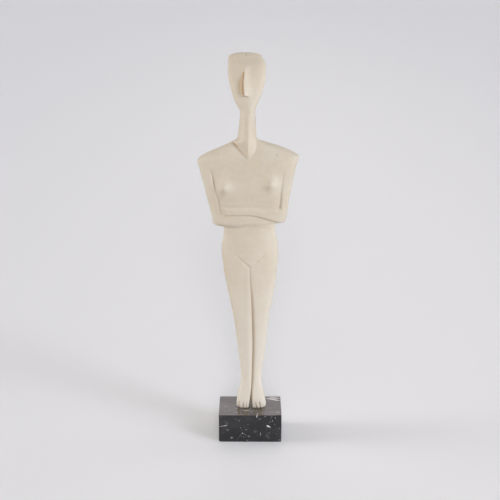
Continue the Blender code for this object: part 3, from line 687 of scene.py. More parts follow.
def breasts(x, z):
    """Two low cones with soft tips."""
    rise = np.zeros_like(x)
    for breast_x, breast_z in BREASTS:
        distance = np.hypot(x - breast_x, z - breast_z) / BREAST_RADIUS
        for share, narrowness in BREAST_SWELLINGS:
            rise += BREAST_RISE * share * np.exp(-narrowness * distance**2)
    return rise


def neck(x, z, surface):
    """The keeled neck, and its root running down into the chest as a V with a cut along each side."""
    middle = curve(MIDDLE, z)
    is_left = x < middle
    edge = np.where(is_left, curve(NECK_LEFT, z), curve(NECK_RIGHT, z))
    across = np.clip((x - middle) / (edge - middle), 0.0, NECK_WIDEST)
    keeled = 1.0 - bulge(np.minimum(across, 1.0), NECK_KEEL_FULLNESS)
    hollow = np.where(is_left, across**NECK_HOLLOW_LEFT, across**NECK_HOLLOW_RIGHT)
    profile = hollow + (keeled - hollow) * step_up(z, *NECK_KEELED)
    keel = curve(NECK_KEEL, z)
    lifted = keel + (surface - NECK_PROUD - keel) * profile
    present = (1.0 - step_up(across, *NECK_FLANK)) * between(z, NECK_TIP_SPAN, NECK_INTO_FACE)
    joined = surface + (np.minimum(lifted, surface) - surface) * present
    left_cut = curve(NECK_LEFT_CUT, z) * groove(x - curve(NECK_LEFT, z), NECK_LEFT_CUT_REACH)
    right_cut = NECK_RIGHT_CUT * groove(x - curve(NECK_RIGHT, z), NECK_RIGHT_CUT_REACH)
    return joined + (left_cut + right_cut) * window(z, *NECK_CUT_SPAN)


def nose(x, z):
    """A long wedge, steep on its left and running softly into the cheek on its right."""
    out = x - curve(MIDDLE, z)
    along = np.clip((NOSE_TOP - z) / (NOSE_TOP - NOSE_TIP), 0.0, 1.0)
    soft = step_up(out, *NOSE_SOFT_SIDE)
    low = NOSE_UNDERSIDE[0] - NOSE_UNDERSIDE_SPREAD[0] * soft
    high = NOSE_UNDERSIDE[1] + NOSE_UNDERSIDE_SPREAD[1] * soft
    height = NOSE_RISE * (NOSE_BROW_RISE + (1.0 - NOSE_BROW_RISE) * along)
    height *= between(z, (low, high), NOSE_BROW)
    width = NOSE_BROW_WIDTH + (1.0 - NOSE_BROW_WIDTH) * along
    left = np.clip(1.0 + out / (NOSE_LEFT_REACH * width), 0.0, 1.0) ** NOSE_LEFT_BEND
    right = np.clip(1.0 - out / (NOSE_RIGHT_REACH * width), 0.0, 1.0) ** NOSE_RIGHT_BEND
    return height * np.where(out < 0.0, left, right)


def belly_lines(x, z):
    """The cut triangle below the belly."""
    depth = TRIANGLE_TOP_CUT * groove(z - TRIANGLE_TOP, TRIANGLE_TOP_REACH) * window(x, *TRIANGLE_TOP_SPAN)
    for line, span, cut in TRIANGLE_SIDES:
        depth += cut * groove(x - curve(line, z), TRIANGLE_SIDE_REACH) * window(z, *span)
    return depth


def toes(x, z):
    """The short grooves between the toes, and the little toe's place further back."""
    rise = np.clip((z - SOLE) / (TOE_ROOT - SOLE), 0.0, 1.0)
    length = 1.0 - step_up(z, TOE_ROOT - TOE_ROOT_FADE, TOE_ROOT)
    depth = LITTLE_TOE_BACK * (1.0 - step_up(x, *LITTLE_TOE_X)) * length
    for root_x, sole_x, cut in TOE_GROOVES:
        groove_x = sole_x + (root_x - sole_x) * rise
        depth += cut * groove(x - groove_x, TOE_GROOVE_REACH) * length
    return depth


def plain_surface(x, z, middle_line, face_line, fullness):
    """The y of the front or the back before any carving, and how much carving it takes: none at the rim."""
    left = curve(LEFT_EDGE, z)
    right = curve(RIGHT_EDGE, z)
    middle = curve(middle_line, z)
    rim = (curve(FRONT, z) + curve(BACK, z)) / 2.0
    across = np.where(x < middle, (middle - x) / (middle - left), (x - middle) / (right - middle))
    y = rim + (curve(face_line, z) - rim) * bulge(across, curve(fullness, z))
    return y, 1.0 - np.clip(across, 0.0, 1.0) ** RIM_SHARPNESS


def front_surface(x, z):
    """The y of the front at x and z, carving and all."""
    y, inside = plain_surface(x, z, MIDDLE, FRONT, FRONT_FULLNESS)
    carved = neck(x, z, y)
    carved = carved + arm_grooves(x, z) - forearms(x, z) - breasts(x, z) - nose(x, z)
    carved = carved + belly_lines(x, z) + toes(x, z)
    return y + (carved - y) * inside


def back_surface(x, z):
    """The y of the back at x and z, with its spine, its arm lines and its seat."""
    y, inside = plain_surface(x, z, SPINE_LINE, BACK, BACK_FULLNESS)
    spine = curve(SPINE_LINE, z)
    carved = y - SPINE_CUT * groove(x - spine, SPINE_REACH) * window(z, *SPINE_SPAN)
    for side in (-1.0, 1.0):
        seat = np.hypot((x - spine - side * SEAT_X) / SEAT_HALF_WIDTH, (z - SEAT_HEIGHT) / SEAT_HALF_HEIGHT)
        carved = carved + SEAT_RISE * np.exp(-SEAT_NARROWNESS * seat**2)
        arm_line = spine + side * curve(ARM_LINE_X, z)
        cut = ARM_LINE_CUT * groove(x - arm_line, ARM_LINE_REACH)
        carved = carved - cut * window(z, *ARM_LINE_SPAN)
    return y + (carved - y) * inside


def feet_gap(z):
    """Width of the open wedge between the feet."""
    t = np.clip((FEET_PART - z) / (FEET_PART - FEET_GAP_FULL), 0.0, 1.0)
    return FEET_GAP * t**FEET_GAP_BEND


def cleft_y(z, y_face, depth_points, meeting_y):
    """The y of a cleft's bottom: its own depth above the ankles, and the feet's meeting line at the feet."""
    own = y_face - np.sign(y_face - meeting_y) * curve(depth_points, z)
    return own + (meeting_y - own) * (1.0 - step_up(z, FEET_PART, ANKLE))


def half_columns(start, lane, rim):
    """The x of one side's front columns, closest together at the middle line, the lane and the rim."""
    inner = np.sin(np.linspace(0.0, 1.0, INNER_COLUMNS + 1) * np.pi / 2.0) ** INNER_CROWDING
    outer = np.sin(np.linspace(0.0, 1.0, OUTER_COLUMNS + 1) * np.pi / 2.0)
    inner_x = start[:, None] + (lane - start)[:, None] * inner
    outer_x = lane[:, None] + (rim - lane)[:, None] * outer
    return np.hstack((inner_x, outer_x[:, 1:]))


def front_half(z, side):
    """Front points of one side from the middle line to the rim, ring by ring."""
    middle = curve(MIDDLE, z)
    lane = curve(LEFT_LANE if side < 0.0 else RIGHT_LANE, z)
    rim = curve(LEFT_EDGE if side < 0.0 else RIGHT_EDGE, z)
    start = middle + side * feet_gap(z) / 2.0
    x = half_columns(start, lane, rim)
    level = np.broadcast_to(z[:, None], x.shape)
    y = front_surface(x, level)
    bottom = cleft_y(z, curve(FRONT, z), CLEFT_DEPTH, FEET_MEET_Y - FEET_WEB / 2.0)[:, None]
    reach = curve(LEFT_CLEFT_REACH if side < 0.0 else RIGHT_CLEFT_REACH, z)
    cusp = cleft(x - start[:, None], reach[:, None], level)
    y = y + (bottom - curve(FRONT, z)[:, None]) * cusp * (level < CLEFT_TOP)
    return np.stack((x, y, level), axis=-1)


def back_half(z, side):
    """Back points of one side from the rim to the middle line, rim left out, ring by ring."""
    rim = curve(LEFT_EDGE if side < 0.0 else RIGHT_EDGE, z)
    start = curve(SPINE_LINE, z) + side * feet_gap(z) / 2.0
    share = np.sin(np.linspace(1.0, 0.0, BACK_COLUMNS + 1) * np.pi / 2.0)[1:] ** BACK_CROWDING
    x = start[:, None] + (rim - start)[:, None] * share
    level = np.broadcast_to(z[:, None], x.shape)
    y = back_surface(x, level)
    bottom = cleft_y(z, curve(BACK, z), REAR_CLEFT_DEPTH, FEET_MEET_Y + FEET_WEB / 2.0)[:, None]
    cusp = crease(x - start[:, None], curve(REAR_CLEFT_REACH, z)[:, None])
    y = y + (bottom - curve(BACK, z)[:, None]) * cusp * (level < REAR_CLEFT_TOP)
    return np.stack((x, y, level), axis=-1)


def crown_rings(edge_ring):
    """Rings of the low dome over the head, drawn in from the crown's edge."""
    middle_x = (edge_ring[:, 0].min() + edge_ring[:, 0].max()) / 2.0
    apex = np.array([middle_x, CROWN_Y, CROWN_EDGE + CROWN_RISE])
    rings = []
    for i in range(1, CROWN_RINGS + 1):
        height = np.sin(np.pi / 2.0 * i / (CROWN_RINGS + 0.5))
        share = np.array([bulge(height, fullness) for fullness in CROWN_FULLNESS] + [1.0])
        ring = apex + (edge_ring - apex) * share
        ring[:, 2] = CROWN_EDGE + CROWN_RISE * height
        rings.append(ring)
    return rings


def add_tube(faces, rows):
    """Faces between rows of vertex numbers, where each row closes on itself."""
    loops = [row + [row[0]] for row in rows]
    for below, above in zip(loops, loops[1:]):
        for i in range(len(below) - 1):
            faces.append((below[i], below[i + 1], above[i + 1], above[i]))


def make_mesh(name, points, faces):
    """A mesh from its points, in metres, and its faces."""
    mesh = bpy.data.meshes.new(name)
    mesh.from_pydata(points, [], faces)
    mesh.update()
    return mesh


def figurine_mesh():
    """The whole figure as one closed skin."""
    heights = ring_heights()
    right_half = np.hstack((front_half(heights, 1.0), back_half(heights, 1.0)))
    left_half = np.hstack((front_half(heights, -1.0), back_half(heights, -1.0)))
    points = []
    faces = []

    def add_points(rows):
        first = len(points)
        points.extend(map(tuple, rows))
        return list(range(first, len(points)))

    parted = heights < FEET_PART - 0.01
    right_rows = [add_points(half) for half in right_half[parted]]
    left_rows = [add_points(half[::-1]) for half in left_half[parted]]
    joined_rows = []
    for right, left in zip(right_half[~parted], left_half[~parted]):
        front_middle = (right[0] + left[0]) / 2.0
        back_middle = (right[-1] + left[-1]) / 2.0
        ring = np.vstack(([front_middle], right[1:-1], [back_middle], left[-2:0:-1]))
        joined_rows.append(add_points(ring))
    crown = [add_points(ring) for ring in crown_rings(np.array(points)[joined_rows[-1]])]
    joined_rows.extend(crown)

    split = joined_rows[0]
    back_index = right_half.shape[1] - 1
    right_upper = split[: back_index + 1]
    left_upper = split[back_index:] + [split[0]]
    for rows, upper in ((right_rows, right_upper), (left_rows, left_upper)):
        add_tube(faces, rows + [upper])
        faces.append(tuple(reversed(rows[0])))
    add_tube(faces, joined_rows)
    faces.append(tuple(joined_rows[-1]))
    return make_mesh("carved_figurine", (np.array(points) * MM).tolist(), faces)


def grid_neighbours(mesh):
    """The vertex numbers at both ends of every edge."""
    ends = np.empty(len(mesh.edges) * 2, dtype=np.int64)
    mesh.edges.foreach_get("vertices", ends)
    return ends.reshape(-1, 2)


def spread(values, ends, rounds):
    """Values at the vertices, averaged with their neighbours a few times."""
    count = np.bincount(ends.ravel(), minlength=len(values))
    for _ in range(rounds):
        total = np.bincount(ends[:, 0], values[ends[:, 1]], len(values))
        total += np.bincount(ends[:, 1], values[ends[:, 0]], len(values))
        values = (values + total / count) / 2.0
    return values


def vertex_array(mesh, attribute):
    """Positions or normals of a mesh's vertices."""
    values = np.empty(len(mesh.vertices) * 3)
    mesh.vertices.foreach_get(attribute, values)
    return values.reshape(-1, 3)


def roughen(mesh):
    """Hand-rubbed unevenness in the surface itself, which never leaves the box that the solids fill."""
    position = vertex_array(mesh, "co")
    normal = vertex_array(mesh, "normal")
    lift = np.zeros(len(position))
    for size, height, seed in RUBBED:
        scaled = position / (size * MM) + seed
        lift += height * MM * np.array([noise.noise(Vector(point)) for point in scaled])
    moved = position + normal * lift[:, None]
    low, high = (np.array(corner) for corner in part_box("figurine"))
    low[1] = cad_low[1]
    high[1] = cad_high[1]
    mesh.vertices.foreach_set("co", np.clip(moved, low, high).ravel())
    mesh.update()


def shelter(mesh):
    """How closed in each vertex is, 0 in the open and 1 deep in a cut, from rays around its normal."""
    position = vertex_array(mesh, "co")
    normal = vertex_array(mesh, "normal")
    tree = BVHTree.FromPolygons(position.tolist(), [tuple(face.vertices) for face in mesh.polygons])
    reach = SHELTER_REACH * MM
    side = np.cross(normal, np.where(np.abs(normal[:, 2:3]) < 0.9, [[0.0, 0.0, 1.0]], [[1.0, 0.0, 0.0]]))
    side /= np.linalg.norm(side, axis=1)[:, None]
    other = np.cross(normal, side)
    start = position + normal * SHELTER_START * MM
    closed = np.zeros(len(position))
    for i in range(SHELTER_RAYS):
        turn = 2.0 * math.pi * i / SHELTER_RAYS
        lean = math.radians(SHELTER_LEANS[i % len(SHELTER_LEANS)])
        around = side * math.cos(turn) + other * math.sin(turn)
        way = normal * math.cos(lean) + around * math.sin(lean)
        for j, (origin, direction) in enumerate(zip(start.tolist(), way.tolist())):
            distance = tree.ray_cast(origin, direction, reach)[3]
            if distance is not None:
                closed[j] += 1.0 - distance / reach
    return spread(closed / SHELTER_RAYS, grid_neighbours(mesh), SHELTER_ROUNDS)


def add_node(tree, kind, inputs, **settings):
    """A shader node, with constants or links put into its inputs by name or number."""
    made = tree.nodes.new("ShaderNode" + kind)
    for name, value in settings.items():
        setattr(made, name, value)
    for name, value in inputs.items():
        if isinstance(value, bpy.types.NodeSocket):
            tree.links.new(value, made.inputs[name])
        else:
            made.inputs[name].default_value = value
    return made


def math_node(tree, operation, first, second):
    """The result of a sum on two values."""
    return add_node(tree, "Math", {0: first, 1: second}, operation=operation).outputs[0]


def vector_node(tree, operation, inputs, output=0):
    """The result of a sum on one or two vectors."""
    return add_node(tree, "VectorMath", inputs, operation=operation).outputs[output]


def height_of(tree, place):
    """How high a place is."""
    return add_node(tree, "SeparateXYZ", {0: place}).outputs["Z"]


def soft_step(tree, value, low, high):
    """0 where a value is below low, 1 where it is above high, with a soft change between them."""
    inputs = {"Value": value, "From Min": low, "From Max": high}
    return add_node(tree, "MapRange", inputs, interpolation_type="SMOOTHSTEP").outputs["Result"]


def fade(tree, value, near, far):
    """1 where a value is at near or beyond it, 0 at far, with a soft change between them."""
    inputs = {"Value": value, "From Min": near, "From Max": far, "To Min": 1.0, "To Max": 0.0}
    return add_node(tree, "MapRange", inputs, interpolation_type="SMOOTHSTEP").outputs["Result"]


def laid_over(tree, value, low, high):
    """A value from 0 to 1 laid evenly over low to high."""
    return add_node(tree, "MapRange", {"Value": value, "To Min": low, "To Max": high}).outputs["Result"]


def patches(tree, place, size, detail, low, high, seed):
    """Soft patches of the given size in millimetres, 0 to 1, cut out of noise between two of its levels."""
    shifted = vector_node(tree, "ADD", {0: place, 1: (seed, seed, seed)})
    cloud = add_node(tree, "TexNoise", {"Vector": shifted, "Scale": 1.0 / (size * MM), "Detail": detail})
    return soft_step(tree, cloud.outputs["Fac"], low, high)


def shaken(tree, place, cloud, reach):
    """A place moved to and fro by the colours of a cloud, as far as reach in millimetres."""
    centred = vector_node(tree, "SUBTRACT", {0: cloud, 1: (0.5, 0.5, 0.5)})
    moved = vector_node(tree, "SCALE", {0: centred, "Scale": reach * MM})
    return vector_node(tree, "ADD", {0: place, 1: moved})


def cells(tree, place, apart, **settings):
    """How far a place is from the nearest of scattered points, or from the walls between their cells."""
    inputs = {"Vector": place, "Scale": 1.0 / (apart * MM)}
    return add_node(tree, "TexVoronoi", inputs, **settings).outputs["Distance"]


def blend_colours(tree, share, first, second, strength=1.0):
    """The first colour where share is 0 and the second, or as much of it as strength says, where it is 1."""
    if strength < 1.0:
        share = math_node(tree, "MULTIPLY", share, strength)
    first = first if isinstance(first, bpy.types.NodeSocket) else (*first, 1.0)
    second = second if isinstance(second, bpy.types.NodeSocket) else (*second, 1.0)
    return add_node(tree, "Mix", {0: share, 6: first, 7: second}, data_type="RGBA").outputs[2]


def new_material(name, constants):
    """A material with its tree, its shader and the object's own coordinates."""
    material = bpy.data.materials.new(name)
    material.use_nodes = True
    tree = material.node_tree
    shader = tree.nodes["Principled BSDF"]
    for socket, value in constants.items():
        shader.inputs[socket].default_value = value
    place = add_node(tree, "TexCoord", {}).outputs["Object"]
    return material, tree, shader, place


def finish_surface(tree, shader, colour, rough, relief, bump):
    """The links from a colour, a roughness and a relief into the shader."""
    strength, distance = bump
    bumped = add_node(tree, "Bump", {"Strength": strength, "Distance": distance, "Height": relief})
    tree.links.new(colour, shader.inputs["Base Color"])
    tree.links.new(rough, shader.inputs["Roughness"])
    tree.links.new(bumped.outputs["Normal"], shader.inputs["Normal"])


def ellipsoid_distance(tree, place, centre, radii, turns=(0.0, 0.0)):
    """How far a place is from a centre, 1 at the skin of an ellipsoid around it."""
    inputs = {
        "Vector": place,
        "Location": [value * MM for value in centre],
        "Rotation": (0.0, math.radians(turns[0]), math.radians(turns[1])),
        "Scale": [value * MM for value in radii],
    }
    local = add_node(tree, "Mapping", inputs, vector_type="TEXTURE").outputs["Vector"]
    return vector_node(tree, "LENGTH", {0: local}, "Value")


def cream_stone():
    """Cream stone, rubbed smooth: cloudy, finely grained, brown in the cuts with patina and painted shade,
    with a few pits.
    """
    material, tree, shader, place = new_material("carved_cream_stone", STONE_SHADER)
    wide = patches(tree, place, *STONE_WIDE)
    narrow = patches(tree, place, *STONE_NARROW)
    grain = patches(tree, place, *STONE_GRAIN)
    height = height_of(tree, place)
    # Patina with painted shade, as marked on the mesh, deepest beside the nose
    patina_shade = add_node(tree, "Attribute", {}, attribute_name=PATINA_SHADE_NAME).outputs["Fac"]
    low, high = DEEP_PATINA_SHADE
    deep_patina_shade = add_node(tree, "MapRange", {"Value": patina_shade, "From Min": low, "From Max": high}).outputs["Result"]
    small = fade(tree, cells(tree, place, SMALL_PITS_APART), *SMALL_PIT_EDGE)
    pits = math_node(tree, "MULTIPLY", small, SMALL_PIT_DEPTH)
    for centre, radius in PITS:
        distance = ellipsoid_distance(tree, place, centre, (PIT_WIDTH * radius, PIT_THROUGH, radius))
        pits = math_node(tree, "MAXIMUM", pits, fade(tree, distance, *PIT_EDGE))
    layers = (
        (wide, STONE_WARM, 1.0),
        (narrow, STONE_LIGHT, STONE_LIGHT_SHARE),
        (grain, STONE_DARK, STONE_GRAIN_SHARE),
        # Painted shade on the crown and forehead, painted light toward the feet
        (fade(tree, height, *CROWN_PAINTED_SHADE), STONE_CROWN_PAINTED_SHADE, 1.0),
        (fade(tree, height, *FEET_PAINTED_LIGHT), STONE_FEET_PAINTED_LIGHT, FEET_PAINTED_LIGHT_SHARE),
        (patina_shade, STONE_PATINA_SHADE, 1.0),
        (deep_patina_shade, STONE_DEEP_PATINA_SHADE, 1.0),
        (pits, STONE_PIT, PIT_SHARE),
    )
    colour = STONE_PALE
    for share, over, strength in layers:
        colour = blend_colours(tree, share, colour, over, strength)

    rough = laid_over(tree, narrow, *STONE_ROUGH)
    fine = math_node(tree, "MULTIPLY", grain, GRAIN_RELIEF)
    broad = math_node(tree, "MULTIPLY", narrow, CLOUD_RELIEF)
    holes = math_node(tree, "MULTIPLY", pits, PIT_RELIEF)
    relief = math_node(tree, "SUBTRACT", math_node(tree, "ADD", fine, broad), holes)
    finish_surface(tree, shader, colour, rough, relief, STONE_BUMP)
    return material


def black_marble():
    """Polished black marble, with white flecks, hairline veins, grey specks and a dusty film on top, which
    carries a painted reflection of the feet around them.
    """
    material, tree, shader, place = new_material("polished_black_marble", MARBLE_SHADER)
    colour = blend_colours(tree, patches(tree, place, *MARBLE_CLOUD), MARBLE_BLACK, MARBLE_GREY)

    below_top = math_node(tree, "SUBTRACT", PLINTH_HIGH[2] * MM, height_of(tree, place))
    stretched = add_node(tree, "Mapping", {"Vector": place, "Scale": HAZE_STRETCH}).outputs["Vector"]
    streaks = laid_over(tree, patches(tree, stretched, *HAZE_STREAKS), *HAZE_SHARE)
    haze = math_node(tree, "MULTIPLY", fade(tree, below_top, 0.0, HAZE_DEPTH * MM), streaks)
    # Around the feet the film is thinner and carries a painted reflection and contact shade of them
    left_foot, right_foot = (ellipsoid_distance(tree, place, spot, FEET_REFLECTION_SIZE) for spot in FEET_REFLECTION_PLACES)
    near_feet = fade(tree, math_node(tree, "MINIMUM", left_foot, right_foot), *FEET_REFLECTION_EDGE)
    thin_film_reflection = math_node(tree, "MULTIPLY", near_feet, patches(tree, place, *FEET_REFLECTION_CLOUD))
    colour = blend_colours(tree, haze, colour, blend_colours(tree, thin_film_reflection, MARBLE_HAZE, MARBLE_THIN_FILM_REFLECTION))

    inputs = {"Vector": place, "Scale": 1.0 / (BEND_SIZE * MM), "Detail": BEND_DETAIL}
    bend = add_node(tree, "TexNoise", inputs).outputs["Color"]
    bent = shaken(tree, place, bend, VEIN_DRIFT)
    hairs = fade(tree, cells(tree, bent, HAIRS_APART, feature="DISTANCE_TO_EDGE"), *HAIR_EDGE)
    hairs = math_node(tree, "MULTIPLY", hairs, patches(tree, place, *HAIR_PLACES))
    specks = fade(tree, cells(tree, bent, SPECKS_APART), *SPECK_EDGE)
    specks = math_node(tree, "MULTIPLY", specks, patches(tree, place, *SPECK_PLACES))
    white = math_node(tree, "MULTIPLY", hairs, HAIR_SHARE)
    white = math_node(tree, "MAXIMUM", white, math_node(tree, "MULTIPLY", specks, SPECK_SHARE))

    torn = shaken(tree, place, bend, FLECK_DRIFT)
    front_y = PLINTH_LOW[1]
    front = [((x, front_y, z), radii, (turn, 0.0), share) for x, z, *radii, turn, share in FRONT_FLECKS]
    for centre, radii, turns, share in (*front, *TOP_FLECKS):
        fleck = fade(tree, ellipsoid_distance(tree, torn, centre, radii, turns), *FLECK_EDGE)
        white = math_node(tree, "MAXIMUM", white, math_node(tree, "MULTIPLY", fleck, share))
    uneven = laid_over(tree, patches(tree, place, *FLECK_CLOUD), *FLECK_SHARE)
    colour = blend_colours(tree, math_node(tree, "MULTIPLY", white, uneven), colour, MARBLE_WHITE)

    rough = laid_over(tree, patches(tree, place, *MARBLE_WORN), *MARBLE_ROUGH)
    finish_surface(tree, shader, colour, rough, patches(tree, place, *MARBLE_RIPPLE), MARBLE_BUMP)
    return material


def studio_paper():
    """Matt pale paper, falling into shade away from the object."""
    material, tree, shader, place = new_material("studio_paper", PAPER_SHADER)
    away = vector_node(tree, "SUBTRACT", {0: place, 1: PAPER_BRIGHT_PLACE})
    away = vector_node(tree, "DIVIDE", {0: away, 1: PAPER_BRIGHT_SIZE})
    distance = vector_node(tree, "LENGTH", {0: away}, "Value")
    squared = math_node(tree, "MULTIPLY", distance, distance)
    share = math_node(tree, "DIVIDE", squared, math_node(tree, "ADD", squared, PAPER_HALFWAY**2))
    tree.links.new(blend_colours(tree, share, PAPER, PAPER_FAR), shader.inputs["Base Color"])
    return material


def edge_levels(low, high):
    """Places along one side of the block, close together near its ends."""
    *ends, innermost = BLOCK_END_STEPS
    count = max(2, round((high - low) / BLOCK_STEP))
    inner = np.linspace(low + innermost, high - innermost, count)
    return np.concatenate(([low + reach for reach in ends], inner, [high - reach for reach in ends[::-1]]))


def block_mesh():
    """The block with softly broken edges that are worn more in places."""
    levels = [edge_levels(low, high) for low, high in zip(PLINTH_LOW, PLINTH_HIGH)]
    last = [len(level) - 1 for level in levels]
    numbers = {}
    points = []
    faces = []

    def number(key):
        if key not in numbers:
            numbers[key] = len(points)
            points.append([level[index] for level, index in zip(levels, key)])
        return numbers[key]

    for axis in range(3):
        first, second = [other for other in range(3) if other != axis]
        for end in (0, last[axis]):
            for i in range(last[first]):
                for j in range(last[second]):
                    corners = []
                    for step_i, step_j in ((0, 0), (1, 0), (1, 1), (0, 1)):
                        key = [0, 0, 0]
                        key[axis] = end
                        key[first] = i + step_i
                        key[second] = j + step_j
                        corners.append(number(tuple(key)))
                    outward = (end > 0) != (axis == 1)
                    faces.append(corners if outward else corners[::-1])

    place = np.array(points)
    radius = np.full(len(place), BLOCK_EDGE_RADIUS)
    wear = [noise.noise(Vector(point) / BLOCK_WEAR_SIZE) for point in place]
    radius += BLOCK_EDGE_WEAR * np.clip(wear, 0.0, 1.0)
    radius *= BLOCK_FOOT_WEAR + (1.0 - BLOCK_FOOT_WEAR) * np.clip(place[:, 2] / BLOCK_STEP, 0.0, 1.0)
    for centre, size, depth in CHIPS:
        radius += depth * np.exp(-(((place - centre) / size) ** 2).sum(axis=1))
    inner = np.clip(place, PLINTH_LOW + radius[:, None], PLINTH_HIGH - radius[:, None])
    out = place - inner
    length = np.linalg.norm(out, axis=1)[:, None]
    place = inner + out / np.maximum(length, 1e-6) * np.minimum(length, radius[:, None])

    return make_mesh("plinth_block", (place * MM).tolist(), faces)


def add_object(name, data):
    """A new object in the scene."""
    made = bpy.data.objects.new(name, data)
    bpy.context.collection.objects.link(made)
    return made


def show(mesh, material, stands_for):
    """A smooth-shaded piece that stands for one of the solids."""
    mesh.materials.append(material)
    mesh.shade_smooth()
    piece = add_object(mesh.name, mesh)
    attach(piece, "root")
    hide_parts(stands_for)


def patina_and_painted_shade(mesh):
    """How brown each vertex is, with patina and painted shade: in cuts, mostly on walls that face left, away
    from the lights, and in a few places of its own.
    """
    leftward = -vertex_array(mesh, "normal")[:, 0]
    facing_left = step_up(leftward, *LEFT_FACING)
    x, y, z = vertex_array(mesh, "co").T / MM
    front = y < PATINA_SHADE_FRONT_Y
    # Patina with painted shade in recesses, taken in full on walls that face left, away from the lights
    low, high = PATINA_SHADE_SHELTER
    patina_shade_in_cuts = np.clip((shelter(mesh) - low) / (high - low), 0.0, 1.0)
    right_wall = TOE_WALL_PATINA_SHADE + (RIGHT_WALL_PATINA_SHADE - TOE_WALL_PATINA_SHADE) * step_up(z, *TOE_WALL_SPAN)
    patina_shade_in_cuts *= right_wall + (1.0 - right_wall) * facing_left
    patina_shade_in_cuts *= 1.0 - FOREARM_LESS_SHADE * window(z, *FOREARM_SPAN) * front

    out = x - curve(MIDDLE, z)
    # Painted shadow with patina on the cheek beside the nose's left flank
    reach, widening = NOSE_SHADOW_REACH
    nose_reach = reach + widening * (1.0 - step_up(z, *NOSE_SHADOW_WIDE))
    shadow_beside_nose = between(out, (-nose_reach, NOSE_SHADOW_INNER), NOSE_SHADOW_END) ** NOSE_SHADOW_BEND
    shadow_beside_nose *= NOSE_SHADOW_PATINA * window(z, *NOSE_SHADOW_SPAN)
    # Painted shade on the neck's left side, and painted shade with patina in its root's cut
    from_edge = x - curve(NECK_LEFT, z)
    shade_on_neck = step_up(from_edge, *NECK_SHADE_START) * (1.0 - step_up(out, *NECK_SHADE_END))
    shade_on_neck *= NECK_PAINTED_SHADE * between(z, NECK_SHADE_FOOT, NECK_SHADE_TOP)
    shade_on_neck *= 1.0 - NECK_SHADE_THINNING * step_up(z, *NECK_SHADE_THIN)
    shade_in_neck_cut = NECK_CUT_SHADE_PATINA * groove(from_edge, NECK_CUT_SHADE_REACH)
    shade_in_neck_cut *= window(z, *NECK_CUT_SHADE_SPAN)
    # Painted shade below the forearms' seam, painted shade with patina in the cleft, and painted shade where
    # breasts and legs face left
    shade_below_seam = SEAM_PAINTED_SHADE * groove(z - curve(FOREARM_SEAM, x) + SEAM_SHADE_DROP, SEAM_SHADE_REACH)
    shade_below_seam *= window(x, *SEAM_SHADE_SPAN)
    shade_in_cleft = CLEFT_SHADE_PATINA * between(out, CLEFT_SHADE_START, CLEFT_SHADE_END)
    shade_in_cleft *= window(z, *CLEFT_SHADE_SPAN)
    shade_on_breasts = BREAST_PAINTED_SHADE * np.clip(breasts(x, z) / BREAST_RISE, 0.0, 1.0)
    shade_on_breasts *= step_up(facing_left, *BREAST_SHADE_FACING)
    shade_on_legs = LEG_PAINTED_SHADE * step_up(leftward, *LEG_SHADE_FACING) * window(z, *LEG_SHADE_SPAN)
    own = np.maximum.reduce((shadow_beside_nose, shade_on_neck, shade_in_neck_cut, shade_below_seam, shade_in_cleft, shade_on_breasts, shade_on_legs))
    return np.clip(patina_shade_in_cuts + own * front, 0.0, 1.0)


def make_figurine():
    """The carved figure, rubbed uneven, with its cuts and shaded sides marked with patina and painted shade
    for the stone's colour.
    """
    mesh = figurine_mesh()
    roughen(mesh)
    mark = mesh.attributes.new(PATINA_SHADE_NAME, "FLOAT", "POINT")
    mark.data.foreach_set("value", patina_and_painted_shade(mesh))
    show(mesh, cream_stone(), "figurine")


def make_floor():
    """A pale floor that runs out of sight."""
    half = FLOOR_SIZE / 2.0
    corners = [(-half, -half, 0.0), (half, -half, 0.0), (half, half, 0.0), (-half, half, 0.0)]
    mesh = make_mesh("studio_floor", corners, [(0, 1, 2, 3)])
    mesh.materials.append(studio_paper())
    add_object("studio_floor", mesh)


def make_light(name, azimuth, elevation, spread_angle, strength, colour, mirrored):
    """A broad distant light; only some of them are mirrored in polished stone."""
    light = bpy.data.lights.new(name, "SUN")
    light.energy = strength
    light.angle = math.radians(spread_angle)
    light.color = colour
    holder = add_object(name, light)
    holder.visible_glossy = mirrored
    turn = math.radians(azimuth)
    rise = math.radians(elevation)
    back = Vector((math.sin(turn) * math.cos(rise), -math.cos(turn) * math.cos(rise), math.sin(rise)))
    holder.rotation_euler = back.to_track_quat("Z", "Y").to_euler()


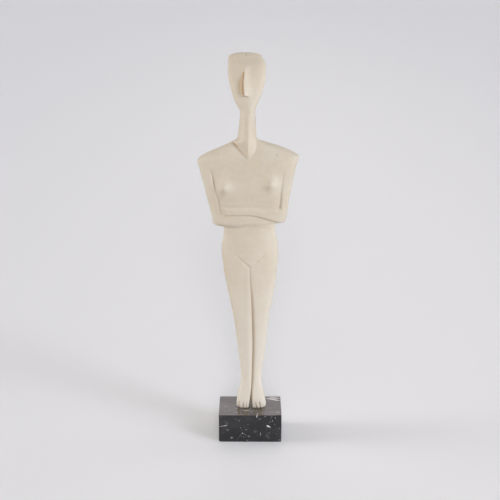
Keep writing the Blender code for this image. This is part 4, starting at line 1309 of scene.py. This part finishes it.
def make_backdrop():
    """A pale screen far away all round, seen only over the floor's edge; it lights nothing."""
    turns = [2.0 * math.pi * step / BACKDROP_STEPS for step in range(BACKDROP_STEPS)]
    ring = [(BACKDROP_RADIUS * math.cos(turn), BACKDROP_RADIUS * math.sin(turn)) for turn in turns]
    points = [(x, y, z) for z in (0.0, BACKDROP_HEIGHT) for x, y in ring]
    faces = []
    for step in range(BACKDROP_STEPS):
        after = (step + 1) % BACKDROP_STEPS
        faces.append((step, after, after + BACKDROP_STEPS, step + BACKDROP_STEPS))
    mesh = make_mesh("studio_backdrop", points, faces)
    mesh.materials.append(new_material("backdrop_paper", BACKDROP_SHADER)[0])
    backdrop = add_object("studio_backdrop", mesh)
    backdrop.visible_diffuse = False
    backdrop.visible_glossy = False
    backdrop.visible_shadow = False


def make_surroundings():
    """A dim room with a bright wall behind the object, which the polished block reflects."""
    world = bpy.data.worlds.new("studio")
    bpy.context.scene.world = world
    world.use_nodes = True
    tree = world.node_tree
    background = tree.nodes["Background"]
    way = add_node(tree, "TexCoord", {}).outputs["Generated"]
    parts = add_node(tree, "SeparateXYZ", {0: way})
    behind = soft_step(tree, parts.outputs["Y"], *WALL_BEHIND)
    above = soft_step(tree, parts.outputs["Z"], *WALL_ABOVE)
    strength = laid_over(tree, math_node(tree, "MULTIPLY", behind, above), ROOM_LIGHT, WALL_LIGHT)
    background.inputs["Color"].default_value = (*ROOM_COLOUR, 1.0)
    tree.links.new(strength, background.inputs["Strength"])


def make_camera():
    """The camera, not quite a metre in front of the object and half a metre up, looking slightly down."""
    data = bpy.data.cameras.new("camera")
    data.sensor_width = CAMERA_SENSOR
    data.lens = CAMERA_LENS
    data.clip_start, data.clip_end = CAMERA_CLIP
    camera = add_object("camera", data)
    tilt = Matrix.Rotation(math.radians(90.0 - CAMERA_PITCH), 4, "X")
    roll = Matrix.Rotation(math.radians(CAMERA_ROLL), 4, "Z")
    camera.matrix_world = Matrix.Translation(CAMERA_PLACE) @ tilt @ roll
    bpy.context.scene.camera = camera


make_camera()
make_surroundings()
for described in LIGHTS:
    make_light(*described)
make_floor()
make_backdrop()
make_figurine()
show(block_mesh(), black_marble(), "plinth")
bpy.context.scene.view_settings.view_transform = "Standard"
bpy.context.view_layer.update()
